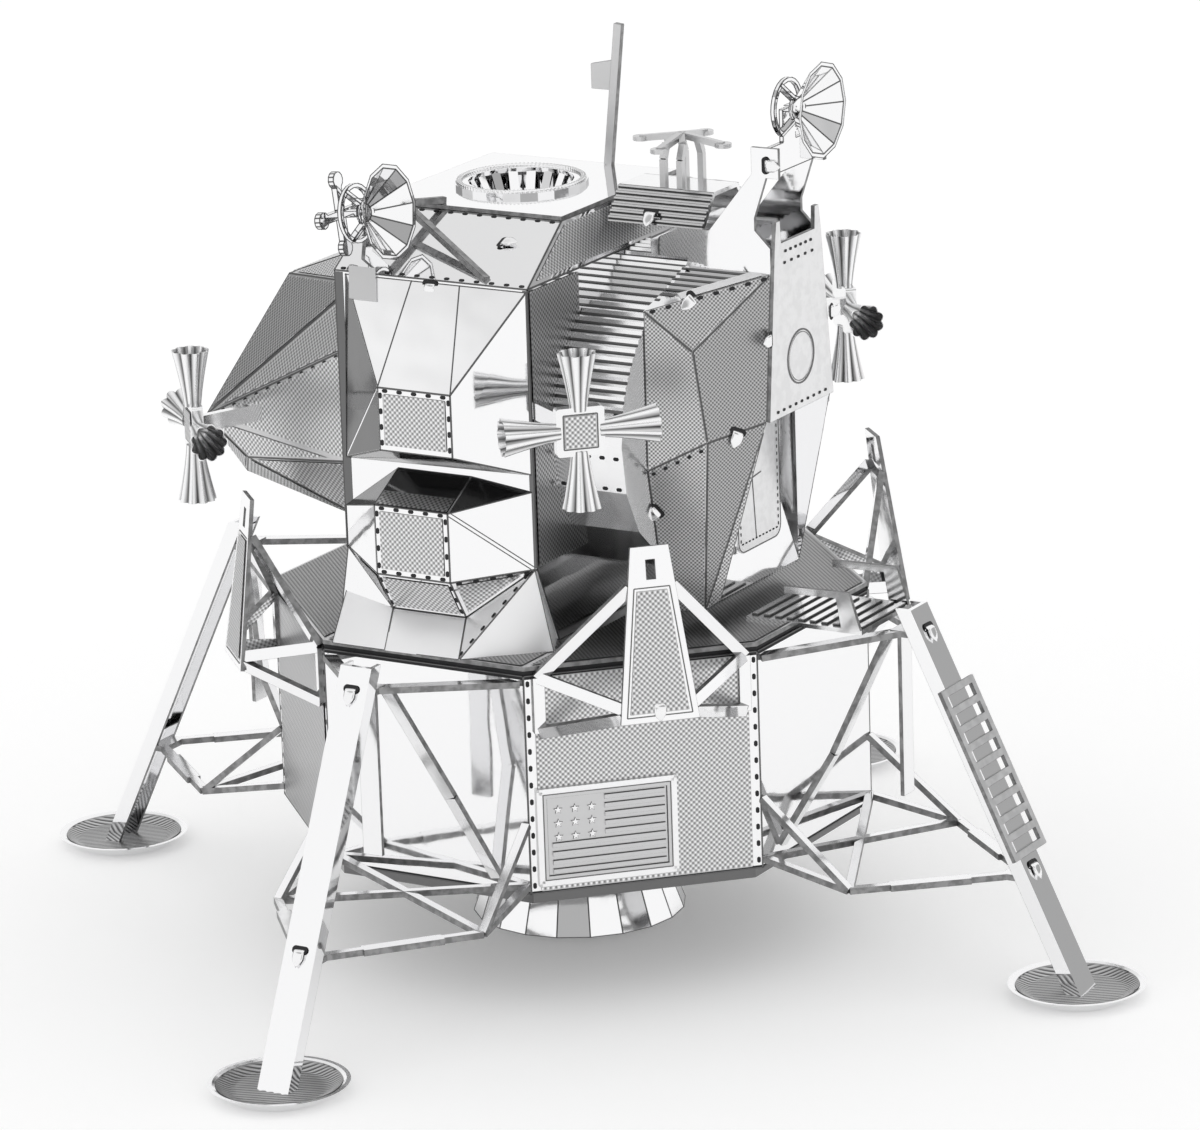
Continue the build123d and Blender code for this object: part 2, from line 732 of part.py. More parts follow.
def side_dish():
    """Steerable dish over the right wall, with a crossed feed frame behind it."""
    shape = dish() + strip((0, 0, 0), (0, 0, -FEED_BACK), 2 * SHEET, STRIP, (1, 0, 0))
    arm = strip((0, 0, 0), (FEED_REACH, 0, 0), 2 * SHEET)
    arm += Pos(FEED_REACH, 0, 0) * disc(PADDLE, STRIP, DISH_FACETS)
    for k in range(4):
        shape += Pos(0, 0, -FEED_BACK) * Rot(0, 0, 90 * k) * arm
    return Plane(origin=SIDE_DISH, z_dir=(0, -0.99, 0.12)) * shape


def side_dish_mount(keep_clear):
    """Bracket and two struts that hold the dish by its hoop."""
    x, y, z = SIDE_DISH
    hold = HOOP - SHEET / 2
    side = (x + hold, y + HOOP_BACK, z)
    deck_end = (0.6 - TOP_DECK_X, PORT_Y + 1.8, TOP_DECK_Z + STRIP / 2)
    panel_end = (0.6 - WALL_X, MID_FRONT + 3.6, WALL_TOP + STRIP / 2)
    mount = strip(side, deck_end, STRIP)
    mount += strip(between(side, deck_end, 0.45), panel_end, STRIP)
    mount += strip(side, (x + 1, y + HOOP_BACK, WALL_TOP), HUB, SHEET, (0, 1, 0))
    for piece in keep_clear:
        mount -= piece
    return mount


def mast():
    """Flat mast at the deck's edge with a small paddle on its rear side."""
    foot = (TOP_DECK_X - STRIP, -0.1, TOP_DECK_Z)
    top = (TOP_DECK_X - STRIP, -1.3, TOP_DECK_Z + MAST_TALL)
    pole = strip(foot, top, 2 * SHEET, STRIP, (1, 0, 0))
    pole -= Pos(0, 0, TOP_DECK_Z - 1) * Box(4 * TOP_DECK_X, 4, 2)
    x, y, z = between(foot, top, 0.62)
    paddle = [(x, y, z - 0.9), (x, y, z + 1.3), (x, y + 1.9, z + 0.9), (x, y + 1.9, z - 0.9)]
    return pole + plate(paddle)


def cross_antenna():
    """Four drooping arms with round paddles on two hoops over the roof."""
    turn = Pos(0, CROSS_Y, CROSS_Z)
    arm = strip((0, 0, 0), (CROSS_REACH, 0, -CROSS_DROOP), STRIP)
    arm += Pos(CROSS_REACH, 0, -CROSS_DROOP) * disc(PADDLE, SHEET, DISH_FACETS)
    shape = turn * arm
    for k in range(1, 4):
        shape += turn * Rot(0, 0, 90 * k) * arm
    for s in (-1, 1):
        lean = s * STRIP * 1.5
        side = [
            (CROSS_HALF, CROSS_Y + lean, ROOF_TOP),
            (CROSS_HALF, CROSS_Y + lean, CROSS_Z - CROSS_HALF),
            (CROSS_HALF * 0.7, CROSS_Y + lean, CROSS_Z - CROSS_HALF * 0.3),
            (0, CROSS_Y, CROSS_Z),
        ]
        path = side + [(-x, y, z) for x, y, z in reversed(side[:-1])]
        for p, q in zip(path, path[1:]):
            shape += strip(p, q, STRIP, STRIP, (0, 1, 0))
    return shape


def rcs_quad():
    """Box with framed faces and four fluted nozzles, two upright and two level."""
    half = QUAD_BOX / 2
    quad = Box(QUAD_BOX, QUAD_BOX, QUAD_BOX)
    for s in (-1, 1):
        quad -= Pos(0, s * half, 0) * Box(QUAD_BOX - 2 * QUAD_FRAME, SHEET, QUAD_BOX - 2 * QUAD_FRAME)
    neck = (NOZZLE_NECK, half)
    mouth = (NOZZLE_MOUTH, half + NOZZLE_LONG)
    nozzle = cone_shell(neck, mouth, NOZZLE_FLUTES, FLUTE, SHEET * 0.7)
    for k in range(4):
        quad += Rot(0, 90 * k, 0) * nozzle
    return quad


# Write every piece
body = descent_body()
save("descent_body", body)
save("descent_deck", octagon(0, DECK_LOW, DECK_TOP))
save("descent_base", octagon(BASE_INSET, BODY_LOW - BASE_TALL, BODY_LOW))
save("engine_bell", engine_bell())

strut = leg()
for name, turn, hand in LEGS:
    spot = Rot(0, 0, turn)
    save(f"leg_{name}", spot * strut)
    save(f"footpad_{name}", spot * footpad())
    save(f"outrigger_{name}", spot * outrigger(hand, [body, strut]))
    save(f"truss_{name}", spot * truss([body, strut]))
save("ladder", ladder())
save("porch", porch())

turned_body = Rot(0, 0, CORNERS[0][1]) * body
for name, turn in CORNERS:
    save(f"plume_deflector_{name}", Rot(0, 0, turn) * plume_deflector(turned_body))
save("flag_plate", Rot(0, 0, CORNERS[0][1]) * flag_plate())

middle = midsection()
bay = aft_bay(middle)
save_over_deck("midsection", middle)
save_over_deck("aft_bay", bay)
save_over_deck("top_deck", top_deck())
save_over_deck("docking_ring", docking_ring())
covers = {"upper": bulge_upper(), "lower": bulge_lower(middle)}
for name, cover in covers.items():
    save_over_deck(f"bulge_{name}_right", cover)
    save_over_deck(f"bulge_{name}_left", mirror(cover, Plane.YZ))

save_over_deck("cabin", cabin())
save_over_deck("front_mask", front_mask())
save_over_deck("hatch", hatch())
save_over_deck("front_plate", front_plate())
save_over_deck("roof", roof())
for s, side in SIDES:
    save_over_deck(f"radar_arm_{side}", Pos(s * ARM_X, 0, 0) * radar_arm())

save_over_deck("radar_dish", radar_dish())
save_over_deck("side_dish", side_dish())
save_over_deck("side_dish_mount", side_dish_mount([middle, side_dish(), top_deck(), docking_ring()]))
save_over_deck("mast", mast())
save_over_deck("cross_antenna", cross_antenna())

for end, y, z, turn, arm_end in QUADS:
    for s, side in SIDES:
        quad = Pos(s * QUAD_X, y, z) * Rot(0, 0, s * turn) * rcs_quad()
        quad += strip((s * (QUAD_X - 1.2), y, z), (s * arm_end[0], arm_end[1], z), 1.2)
        for carrier in (middle, bay):
            quad -= carrier
        save_over_deck(f"rcs_quad_{side}_{end}", quad)
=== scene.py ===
# %% [markdown]
# # A lunar lander folded from bright sheet
# The object is a small display model: thin stainless sheet, etched on a flat card, then folded
# along rows of slots and held by bent tabs. The solids come from the CAD frame and already have
# every fold. This lesson adds what etching and bending leave on such a sheet: dimpled panels,
# slotted fold lines, scribed lines and tabs, and the finishes that make it read as metal.

# %% Load the frame
from collections import namedtuple
from functools import lru_cache

import bpy
import numpy as np
from mathutils import Matrix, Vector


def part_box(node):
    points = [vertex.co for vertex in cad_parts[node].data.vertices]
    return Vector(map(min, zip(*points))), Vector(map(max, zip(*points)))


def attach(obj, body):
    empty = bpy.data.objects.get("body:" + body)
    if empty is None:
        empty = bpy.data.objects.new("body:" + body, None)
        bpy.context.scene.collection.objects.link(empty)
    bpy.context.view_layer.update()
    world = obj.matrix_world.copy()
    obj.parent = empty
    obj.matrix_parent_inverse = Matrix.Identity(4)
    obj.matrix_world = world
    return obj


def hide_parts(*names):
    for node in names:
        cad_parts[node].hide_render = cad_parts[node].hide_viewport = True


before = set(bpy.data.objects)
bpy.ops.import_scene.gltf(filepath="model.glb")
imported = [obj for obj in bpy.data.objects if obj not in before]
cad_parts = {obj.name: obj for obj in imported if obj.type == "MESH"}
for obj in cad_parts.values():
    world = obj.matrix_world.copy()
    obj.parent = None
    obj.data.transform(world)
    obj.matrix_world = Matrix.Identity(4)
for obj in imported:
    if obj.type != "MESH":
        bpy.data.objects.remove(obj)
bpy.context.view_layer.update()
MM = 0.001
print("solids in the frame:", len(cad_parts))

# %% [markdown]
# ## Finishes as formulas
# A finish is a small graph of nodes. Wiring them one by one hides the idea, so one class wraps
# a socket and lets + - * stand for Math nodes, and one method adds any other node.

# %% A value in a finish, and the finish that holds it


class Value:
    """One socket of a finish; arithmetic on it adds Math nodes."""

    def __init__(self, finish, socket):
        self.finish = finish
        self.socket = socket

    def math(self, operation, *terms):
        """Math node with these terms as its inputs."""
        return self.finish.node("ShaderNodeMath", {"operation": operation}, dict(enumerate(terms)))

    def __add__(self, other):
        return self.math("ADD", self, other)

    __radd__ = __add__

    def __sub__(self, other):
        return self.math("SUBTRACT", self, other)

    def __rsub__(self, other):
        return self.math("SUBTRACT", other, self)

    def __mul__(self, other):
        return self.math("MULTIPLY", self, other)

    __rmul__ = __mul__

    def ramp(self, low, high):
        """Smooth step from 0 at low to 1 at high."""
        settings = {"interpolation_type": "SMOOTHSTEP"}
        sockets = {"Value": self, "From Min": low, "From Max": high}
        return self.finish.node("ShaderNodeMapRange", settings, sockets)


class Finish:
    """The node tree of one material or of the world."""

    def __init__(self, tree):
        self.tree = tree
        tree.nodes.clear()

    def node(self, kind, settings=None, sockets=None, out=0):
        """New node: settings are its own fields, sockets its inputs, linked or set."""
        made = self.tree.nodes.new(kind)
        for key, value in (settings or {}).items():
            setattr(made, key, value)
        for key, value in (sockets or {}).items():
            if isinstance(value, Value):
                self.tree.links.new(value.socket, made.inputs[key])
            else:
                made.inputs[key].default_value = value
        return Value(self, made.outputs[out]) if len(made.outputs) else None

    def place(self):
        """Place on the object, in metres."""
        return self.node("ShaderNodeTexCoord", out="Object")

    def noise(self, scale, detail=2.0):
        """Cloudy noise around 0.5, with about scale clouds per metre."""
        sockets = {"Vector": self.place(), "Scale": scale, "Detail": detail}
        return self.node("ShaderNodeTexNoise", None, sockets)

    def mix(self, share, dark, light):
        """Blend of two colours by a share."""
        made = self.node("ShaderNodeMix", {"data_type": "RGBA"}, None, out=2)
        node = made.socket.node
        for socket, value in ((node.inputs[0], share), (node.inputs[6], dark), (node.inputs[7], light)):
            if isinstance(value, Value):
                self.tree.links.new(value.socket, socket)
            else:
                socket.default_value = value
        return made

    def surface(self, sockets):
        """Principled surface with these sockets, led to the output."""
        shader = self.node("ShaderNodeBsdfPrincipled", None, sockets)
        self.node("ShaderNodeOutputMaterial", None, {"Surface": shader})


def new_finish(name):
    """A material and the graph that fills it."""
    material = bpy.data.materials.new(name)
    material.use_nodes = True
    return material, Finish(material.node_tree)


def grey(v):
    """Grey of steel, a trace cooler than neutral."""
    return (v, v, v * 1.006, 1.0)


# %% [markdown]
# ## The bare sheet
# Polished stainless steel mirrors its surroundings. A flat sheet that has been folded by hand is
# never quite flat, so a slow bump bends the mirror image, and handling leaves faint smears that
# change the gloss. Both come from noise in the object's own coordinates.

# %% Sheet finishes
WARPS_PER_METRE = 140.0
SMEARS_PER_METRE = 1500.0
WARP_HIGH = 0.00008


def sheet_finish(name, tone, rough, warp=0.6, smear=0.08, speck=0.0):
    """Metal with a slow bump, smeared gloss and, if asked, fine specks."""
    material, f = new_finish(name)
    slow = f.noise(WARPS_PER_METRE)
    fine = f.noise(SMEARS_PER_METRE, 3.0)
    bump = {"Strength": warp, "Distance": WARP_HIGH, "Height": slow}
    normal = f.node("ShaderNodeBump", None, bump, out="Normal")
    colour = f.mix(fine.ramp(0.35, 0.65), grey(tone * (1 - speck)), grey(tone))
    gloss = rough + smear * fine.ramp(0.45, 0.75) * slow
    f.surface({"Base Color": colour, "Metallic": 1.0, "Roughness": gloss, "Normal": normal})
    return material


MIRROR = sheet_finish("mirror_sheet", 0.93, 0.045)
BRIGHT = sheet_finish("bright_strip", 0.9, 0.12)
SATIN = sheet_finish("satin_sheet", 0.8, 0.3, 0.3, 0.12, 0.08)
PALE = sheet_finish("pale_sheet", 0.97, 0.42)
RIBBED = sheet_finish("ribbed_sheet", 0.9, 0.16)
DULL = sheet_finish("dull_sheet", 0.62, 0.32)
# Dark lines: real scribed marks where they are etched, and painted shade along folds, seams and the creases
# between ribs.
LINE_AND_CREASE_SHADE = sheet_finish("scribed_line", 0.16, 0.4)
CUT_EDGE = sheet_finish("cut_edge", 0.34, 0.45, 0.2, 0.1, 0.4)
# Dark mirror sheet: painted shade, a dark reflection laid over faces that look into a gap or the unlit side
# of the room.
PAINTED_SHADE_SHEET = sheet_finish("shaded_mirror", 0.16, 0.1, 0.8)


def hole_finish():
    """Nearly black: the unlit inside of the model seen through its slots."""
    material, f = new_finish("open_slot")
    colour = f.mix(f.noise(900.0), (0.004, 0.004, 0.005, 1), (0.02, 0.02, 0.022, 1))
    f.surface({"Base Color": colour, "Roughness": 0.7})
    return material


SLOT = hole_finish()


def dimpled_finish(name, low, high):
    """Etched sheet: the ground is dull and darker, partly its own etched tone and partly painted shade in
    the hollows; the crests keep the sheet's polish.
    """
    material, f = new_finish(name)
    crest = f.node("ShaderNodeAttribute", {"attribute_name": "crest"}, out="Fac")
    colour = f.mix(crest.ramp(-1.0, 1.0), grey(low), grey(high))
    f.surface({"Base Color": colour, "Metallic": 1.0, "Roughness": 0.36 - 0.1 * crest})
    return material


DIMPLED = dimpled_finish("dimpled_sheet", 0.2, 0.93)
# Darker copy of the dimpled sheet: painted shade, for panels that lie in shade or mirror the dark.
DIMPLED_SHADE = dimpled_finish("dimpled_deck", 0.1, 0.6)
DIMPLED_MASK = dimpled_finish("dimpled_mask", 0.1, 0.86)
# On the bells the same finish makes the creases between the flutes dark: painted shade.
FLUTED = dimpled_finish("fluted_sheet", 0.22, 0.95)
print("finishes:", len(bpy.data.materials))

# %% [markdown]
# ## Studio
# The model stands in a white light tent: white floor, white sky, and a few soft grey openings
# that give the mirrors something dark to show. The floor is a plain white diffuse plane; a
# little emission, seen only by camera, glossy and transmission rays, brings it up to white.

# %% World and floor
ROOM_LIGHT = 0.95
FLOOR_GLOW = 0.2


def seen_rays(f):
    """1 for camera, glossy and transmission rays, 0 for the light that falls on diffuse paint."""
    total = f.node("ShaderNodeLightPath", out="Is Camera Ray")
    for name in ("Is Glossy Ray", "Is Transmission Ray"):
        total = total + f.node("ShaderNodeLightPath", out=name)
    return total.ramp(0.0, 1.0)


# One row per grey opening of the tent: direction, cosine where it fades in, full, depth
OPENINGS = [
    ((0.36, 0.56, 0.75), 0.985, 0.996, 0.1),
    ((0.43, 0.50, 0.75), 0.86, 0.95, 0.12),
    ((-0.82, -0.50, 0.28), 0.93, 0.985, 0.55),
    ((0.10, 0.97, 0.22), 0.93, 0.97, 0.7),
    ((0.85, -0.50, 0.16), 0.95, 0.98, 0.6),
    ((-0.55, 0.40, 0.73), 0.95, 0.985, 0.5),
    ((-0.10, -0.75, 0.65), 0.93, 0.975, 0.6),
]

world = bpy.data.worlds.new("light_tent")
world.use_nodes = True
bpy.context.scene.world = world
f = Finish(world.node_tree)
look = f.node("ShaderNodeTexCoord", out="Generated")
tent = None
for direction, start, full, depth in OPENINGS:
    sockets = {0: look, 1: direction}
    along = f.node("ShaderNodeVectorMath", {"operation": "DOT_PRODUCT"}, sockets, out="Value")
    keep = 1 - depth * along.ramp(start, full)
    tent = keep if tent is None else tent * keep
seen = seen_rays(f)
strength = ROOM_LIGHT * (1 - seen) + seen * tent
shader = f.node("ShaderNodeBackground", None, {"Color": (1, 1, 1, 1), "Strength": strength})
f.node("ShaderNodeOutputWorld", None, {"Surface": shader})

# The floor lies a hair below the pads, so that the two never share a plane.
SQUARE = ((-1, -1), (1, -1), (1, 1), (-1, 1))
FLOOR_HALF, FLOOR_Z = 3.0, -2e-5
floor_mesh = bpy.data.meshes.new("floor")
ground = [(FLOOR_HALF * x, FLOOR_HALF * y, FLOOR_Z) for x, y in SQUARE]
floor_mesh.from_pydata(ground, [], [(0, 1, 2, 3)])
floor = bpy.data.objects.new("floor", floor_mesh)
bpy.context.collection.objects.link(floor)
white, f = new_finish("white_floor")
paint = f.node("ShaderNodeBsdfDiffuse", None, {"Color": (0.86, 0.86, 0.86, 1)})
glow = f.node("ShaderNodeEmission", None, {"Color": (1, 1, 1, 1), "Strength": FLOOR_GLOW * seen_rays(f)})
both = f.node("ShaderNodeAddShader", None, {0: paint, 1: glow})
f.node("ShaderNodeOutputMaterial", None, {"Surface": both})
floor_mesh.materials.append(white)
print("openings of the tent:", len(OPENINGS))

# %% [markdown]
# The camera stands where the photograph was taken from. It was solved from the corners of the
# eight-sided body and the footpad rims, because these are flat, known shapes.

# %% Camera
CAMERA_AT = np.array([-375.58, -226.29, 152.47]) * MM
BACK = np.array([-0.823, -0.496, 0.276])
RIGHT = np.array([0.516, -0.857, 0.0])
ROLL = -0.0361
SENSOR_MM, LENS_MM = 36.0, 189.4
PHOTO_WIDE, SHIFT_X, SHIFT_Y = 1200, 33.0, 2.3
BACK = BACK / np.linalg.norm(BACK)
RIGHT = RIGHT - BACK * (RIGHT @ BACK)
RIGHT = RIGHT / np.linalg.norm(RIGHT)
UP = np.cross(BACK, RIGHT)
c = np.sqrt(1 - ROLL**2)
axes = np.eye(4)
axes[:3, 0] = c * RIGHT + ROLL * UP
axes[:3, 1] = -ROLL * RIGHT + c * UP
axes[:3, 2] = BACK
axes[:3, 3] = CAMERA_AT
camera = bpy.data.objects.new("camera", bpy.data.cameras.new("camera"))
bpy.context.collection.objects.link(camera)
camera.matrix_world = Matrix(axes.tolist())
camera.data.sensor_width = SENSOR_MM
camera.data.sensor_fit = "HORIZONTAL"
camera.data.lens = LENS_MM
camera.data.shift_x = SHIFT_X / PHOTO_WIDE
camera.data.shift_y = SHIFT_Y / PHOTO_WIDE
camera.data.clip_start = 0.02
bpy.context.scene.camera = camera
bpy.context.scene.view_settings.view_transform = "Standard"
print("camera distance mm:", round(float(np.linalg.norm(CAMERA_AT)) / MM))

# %% [markdown]
# ## Finish of the solids
# Each solid keeps its shape and only changes its finish: mirror for the big folded boxes,
# bright or satin sheet for strips and plates, dull for pieces that the photograph shows grey. A
# table by the start of the name is easier to read than a line per solid.

# %% Finish by node name
BY_NAME = [
    # The base strip takes the dark sheet: painted shade under the body's sides.
    ("descent_base", PAINTED_SHADE_SHEET),
    ("descent_deck", DULL),
    ("outrigger", BRIGHT),
    ("truss", BRIGHT),
    ("porch", BRIGHT),
    ("cabin", RIBBED),
    ("roof", RIBBED),
    ("front_plate", SATIN),
    ("flag_plate", DULL),
    ("footpad", BRIGHT),
    ("cross_antenna", DULL),
    ("mast", DULL),
    ("ladder", SATIN),
    ("aft_bay", DULL),
]
for name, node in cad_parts.items():
    chosen = [finish for start, finish in BY_NAME if name.startswith(start)]
    node.data.materials.clear()
    node.data.materials.append(chosen[0] if chosen else MIRROR)
print("solids finished:", len(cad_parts))

# %% [markdown]
# ## Working on the solids' own faces
# What etching leaves lies on single flat faces of the solids. So outlines are read from the
# frame: triangles that share a plane make one face, and its outermost points give its corners.

# %% Flat faces of a solid


def unit(v):
    """The same direction with length 1."""
    v = np.asarray(v, float)
    return v / np.linalg.norm(v)


def plane_axes(n):
    """Level axis and upward axis of a plane with normal n; a level plane takes X and Y."""
    u = np.cross((0.0, 0.0, 1.0), n)
    u = unit(u) if np.linalg.norm(u) > 0.05 else np.array([1.0, 0.0, 0.0])
    return u, np.cross(n, u)


def triangles(node):
    """Corners of a solid's triangles in millimetres."""
    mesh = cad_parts[node].data
    mesh.calc_loop_triangles()
    place = np.empty(len(mesh.vertices) * 3)
    mesh.vertices.foreach_get("co", place)
    index = np.empty(len(mesh.loop_triangles) * 3, int)
    mesh.loop_triangles.foreach_get("vertices", index)
    return place.reshape(-1, 3)[index.reshape(-1, 3)] / MM


def outline(points, n):
    """Convex outline of points in a plane, turning left about n.

    A point is kept if it starts a pair that has no other point to its right.
    """
    u, v = plane_axes(n)
    points = np.unique(np.round(points, 3), axis=0)
    a, b = points @ u, points @ v
    da, db = a - a[:, None], b - b[:, None]
    turn = da[:, :, None] * db[:, None] - db[:, :, None] * da[:, None]
    keep = ((turn.min(-1) > -0.002) & (np.hypot(da, db) > 0.02)).any(1)
    points, a, b = points[keep], a[keep], b[keep]
    return points[np.argsort(np.arctan2(b - b.mean(), a - a.mean()))]


def islands(index):
    """Group number of each triangle: triangles that share corners end up with the same one."""
    group = np.arange(len(index))
    while True:
        lowest = np.full(index.max() + 1, len(index))
        np.minimum.at(lowest, index.reshape(-1), np.repeat(group, 3))
        smaller = lowest[index].min(1)
        if (smaller == group).all():
            return group
        group = smaller


Face = namedtuple("Face", "area corners n triangles")


@lru_cache(None)
def flat_faces(node):
    """All flat faces of a solid: connected triangles that share a plane."""
    t = triangles(node)
    n = np.cross(t[:, 1] - t[:, 0], t[:, 2] - t[:, 0])
    size = np.linalg.norm(n, axis=1)
    whole = size > 1e-5
    t, n, size = t[whole], n[whole] / size[whole][:, None], size[whole]
    index = np.unique(np.round(t.reshape(-1, 3), 3), axis=0, return_inverse=True)[1].reshape(-1, 3)
    left = np.ones(len(t), bool)
    found = []
    for k in np.argsort(-size):
        if left[k]:
            same = np.flatnonzero(left & (n @ n[k] > 0.9995) & (np.abs((t - t[k, 0]) @ n[k]).max(1) < 0.03))
            left[same] = False
            group = islands(index[same])
            for name in np.unique(group):
                one = same[group == name]
                found.append(Face(size[one].sum() / 2, outline(t[one].reshape(-1, 3), n[k]), n[k], t[one]))
    return found


def facet(node, toward):
    """Corners and normal of the face that looks most along toward; of equals the largest."""
    faces = flat_faces(node)
    largest = max(face.area for face in faces)
    best = max(faces, key=lambda face: face.n @ unit(toward) + 0.002 * face.area / largest)
    return best.corners, best.n


def reach(face):
    """Longest distance across a face."""
    return np.linalg.norm(face.corners[:, None] - face.corners, axis=-1).max()


def edge_limits(corners, u, v, margin):
    """Middle of an outline, its corners on axes u and v, and two things for each edge.

    These are the direction inwards, square to the edge, and the least a point may reach along it
    to lie inside by margin.
    """
    mid = corners.mean(0)
    flat = np.c_[(corners - mid) @ u, (corners - mid) @ v]
    edge = np.roll(flat, -1, 0) - flat
    inward = np.c_[-edge[:, 1], edge[:, 0]] / np.linalg.norm(edge, axis=1)[:, None]
    return mid, flat, inward, (inward * flat).sum(1) + margin


def inset(corners, n, margin):
    """Outline drawn in by margin: each corner is where its two shifted edges cross."""
    u, v = plane_axes(n)
    mid, _, inward, limit = edge_limits(corners, u, v, margin)
    pair = np.stack([np.roll(inward, 1, 0), inward], 1)
    spot = np.linalg.solve(pair, np.stack([np.roll(limit, 1), limit], 1)[..., None])[..., 0]
    return mid + spot[:, :1] * u + spot[:, 1:] * v


def looped(ring):
    """A ring with its first corner again at the end."""
    return np.concatenate([ring, ring[:1]])


# %% [markdown]
# ## From arrays to pieces
# Every added piece is computed as whole arrays: places, the corner numbers of all faces in one
# row, the number of corners per face, and one value per place that a finish may read.

# %% Arrays into a mesh


def grid_part(place, crest=None):
    """Quads between the neighbours of a grid of places."""
    index = np.arange(place[..., 0].size).reshape(place.shape[:2])
    cell = np.stack([index[:-1, :-1], index[1:, :-1], index[1:, 1:], index[:-1, 1:]], -1)
    crest = np.zeros(index.size) if crest is None else crest.reshape(-1)
    return place.reshape(-1, 3), cell.reshape(-1), np.full(cell.size // 4, 4), crest


def weld(part):
    """Places that coincide become one, and quads lose the corners that fell together.

    So the seam of a tube closes, and the quads round a pole become triangles.
    """
    place, corner, _, crest = part
    _, first, spot = np.unique(np.round(place, 4), axis=0, return_index=True, return_inverse=True)
    quad = spot.reshape(-1)[corner].reshape(-1, 4)
    keep = quad != np.roll(quad, -1, 1)
    whole = keep.sum(1) > 2
    return place[first], quad[whole][keep[whole]], keep[whole].sum(1), crest[first]


def polygon_part(rings):
    """One flat face per ring; all rings have the same number of corners."""
    rings = np.asarray(rings, float)
    rings = rings[None] if rings.ndim == 2 else rings
    place = rings.reshape(-1, 3)
    return place, np.arange(len(place)), np.full(len(rings), rings.shape[1]), np.zeros(len(place))


def piece(name, parts, finish, smooth=False):
    """Join arrays in millimetres into one mesh that rides with the model."""
    start = np.cumsum([0] + [len(part[0]) for part in parts])
    place = np.concatenate([part[0] for part in parts]) * MM
    corner = np.concatenate([part[1] + k for part, k in zip(parts, start)])
    sides = np.concatenate([part[2] for part in parts])
    mesh = bpy.data.meshes.new(name)
    mesh.vertices.add(len(place))
    mesh.vertices.foreach_set("co", place.reshape(-1))
    mesh.loops.add(len(corner))
    mesh.loops.foreach_set("vertex_index", corner)
    mesh.polygons.add(len(sides))
    mesh.polygons.foreach_set("loop_start", np.cumsum(sides) - sides)
    mesh.polygons.foreach_set("use_smooth", np.full(len(sides), smooth))
    mesh.update(calc_edges=True)
    crest = np.concatenate([part[3] for part in parts]).astype(np.float32)
    mesh.attributes.new("crest", "FLOAT", "POINT").data.foreach_set("value", crest)
    mesh.materials.append(finish)
    made = bpy.data.objects.new(name, mesh)
    bpy.context.collection.objects.link(made)
    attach(made, "root")
    print(name, "faces:", len(sides))
    return made


# %% [markdown]
# ## Dimpled panels
# Fine dimples are etched into most of the grey panels: a chequer of little hills and hollows.
# A bump map would do from afar, but real hills also show in a close view and in a printed mesh.
# So each panel is a height field on a grid turned by 45 degrees, whose points fall exactly on
# hills, saddles and hollows; points past the outline are pulled onto it.

# %% A dimpled panel as a height field
DIMPLE = 0.39
LIFT = 0.06


def dimples(corners, n, margin, tall=0.04, pitch=DIMPLE):
    """Height field over a convex outline.

    With grid numbers i and j along the two diagonals of the face's plane, the height is
    LIFT + tall * (cos(pi i) + cos(pi j)) / 2: hills and hollows alternate like a chequer.
    Points outside the outline, drawn in by margin, move straight onto its nearest edge.
    """
    level, rise = plane_axes(n)
    u = (level + rise) / np.sqrt(2)
    v = (rise - level) / np.sqrt(2)
    mid, flat, inward, limits = edge_limits(corners, u, v, margin)
    step = pitch / np.sqrt(8)
    low = np.floor(flat.min(0) / step) - 1
    high = np.ceil(flat.max(0) / step) + 2
    i, j = np.meshgrid(np.arange(low[0], high[0]), np.arange(low[1], high[1]), indexing="ij")
    p = np.stack([i, j], -1) * step
    out = (limits - p @ inward.T).max(-1)
    crest = (np.cos(np.pi * i) + np.cos(np.pi * j)) / 2 * (out < 0)
    for _ in range(3):
        for side, limit in zip(inward, limits):
            p = p + np.clip(limit - p @ side, 0, None)[..., None] * side
    place = mid + p[..., :1] * u + p[..., 1:] * v + (LIFT + tall * crest)[..., None] * n
    place, corner, sides, crest = grid_part(place, crest)
    near = np.minimum.reduce([out[:-1, :-1], out[1:, :-1], out[1:, 1:], out[:-1, 1:]]) < 0
    used, corner = np.unique(corner.reshape(-1, 4)[near.reshape(-1)], return_inverse=True)
    return place[used], corner.reshape(-1), sides[near.reshape(-1)], crest[used]


def dimpled_piece(name, fields, finish=DIMPLED):
    """Height fields as one smooth piece of dimpled sheet."""
    return piece(name, fields, finish, smooth=True)


# %% [markdown]
# The panels lie on the tank covers, the brow of the middle section, the bay at the rear and the
# slanting sides of the descent stage. Each keeps a bare margin, because a fold needs flat sheet.

# %% Panels on the solids' faces
# One row per panel: piece, solid, direction the face looks, bare margin round it
PANELS = [
    ("middle_brow", "midsection", (0, -0.86, 0.51), 0.3),
]
CORNERS = ((-1, -1, "right_front"), (-1, 1, "right_rear"), (1, 1, "left_rear"), (1, -1, "left_front"))
for s, side in ((-1, "right"), (1, "left")):
    PANELS += [
        (f"tank_panel_upper_{side}", f"bulge_upper_{side}", (s, 0, 0), 0.42),
        (f"tank_panel_lower_{side}", f"bulge_lower_{side}", (s, 0, 0.01), 0.42),
        (f"tank_slope_{side}", f"bulge_lower_{side}", (0.84 * s, 0, -0.54), 0.3),
        (f"tank_slope_front_{side}", f"bulge_lower_{side}", (0.70 * s, -0.56, -0.44), 0.3),
        (f"tank_slope_rear_{side}", f"bulge_lower_{side}", (0.69 * s, 0.58, -0.44), 0.3),
    ]
for name, node, toward, margin in PANELS:
    corners, n = facet(node, toward)
    dimpled_piece(name, [dimples(corners, n, margin)])
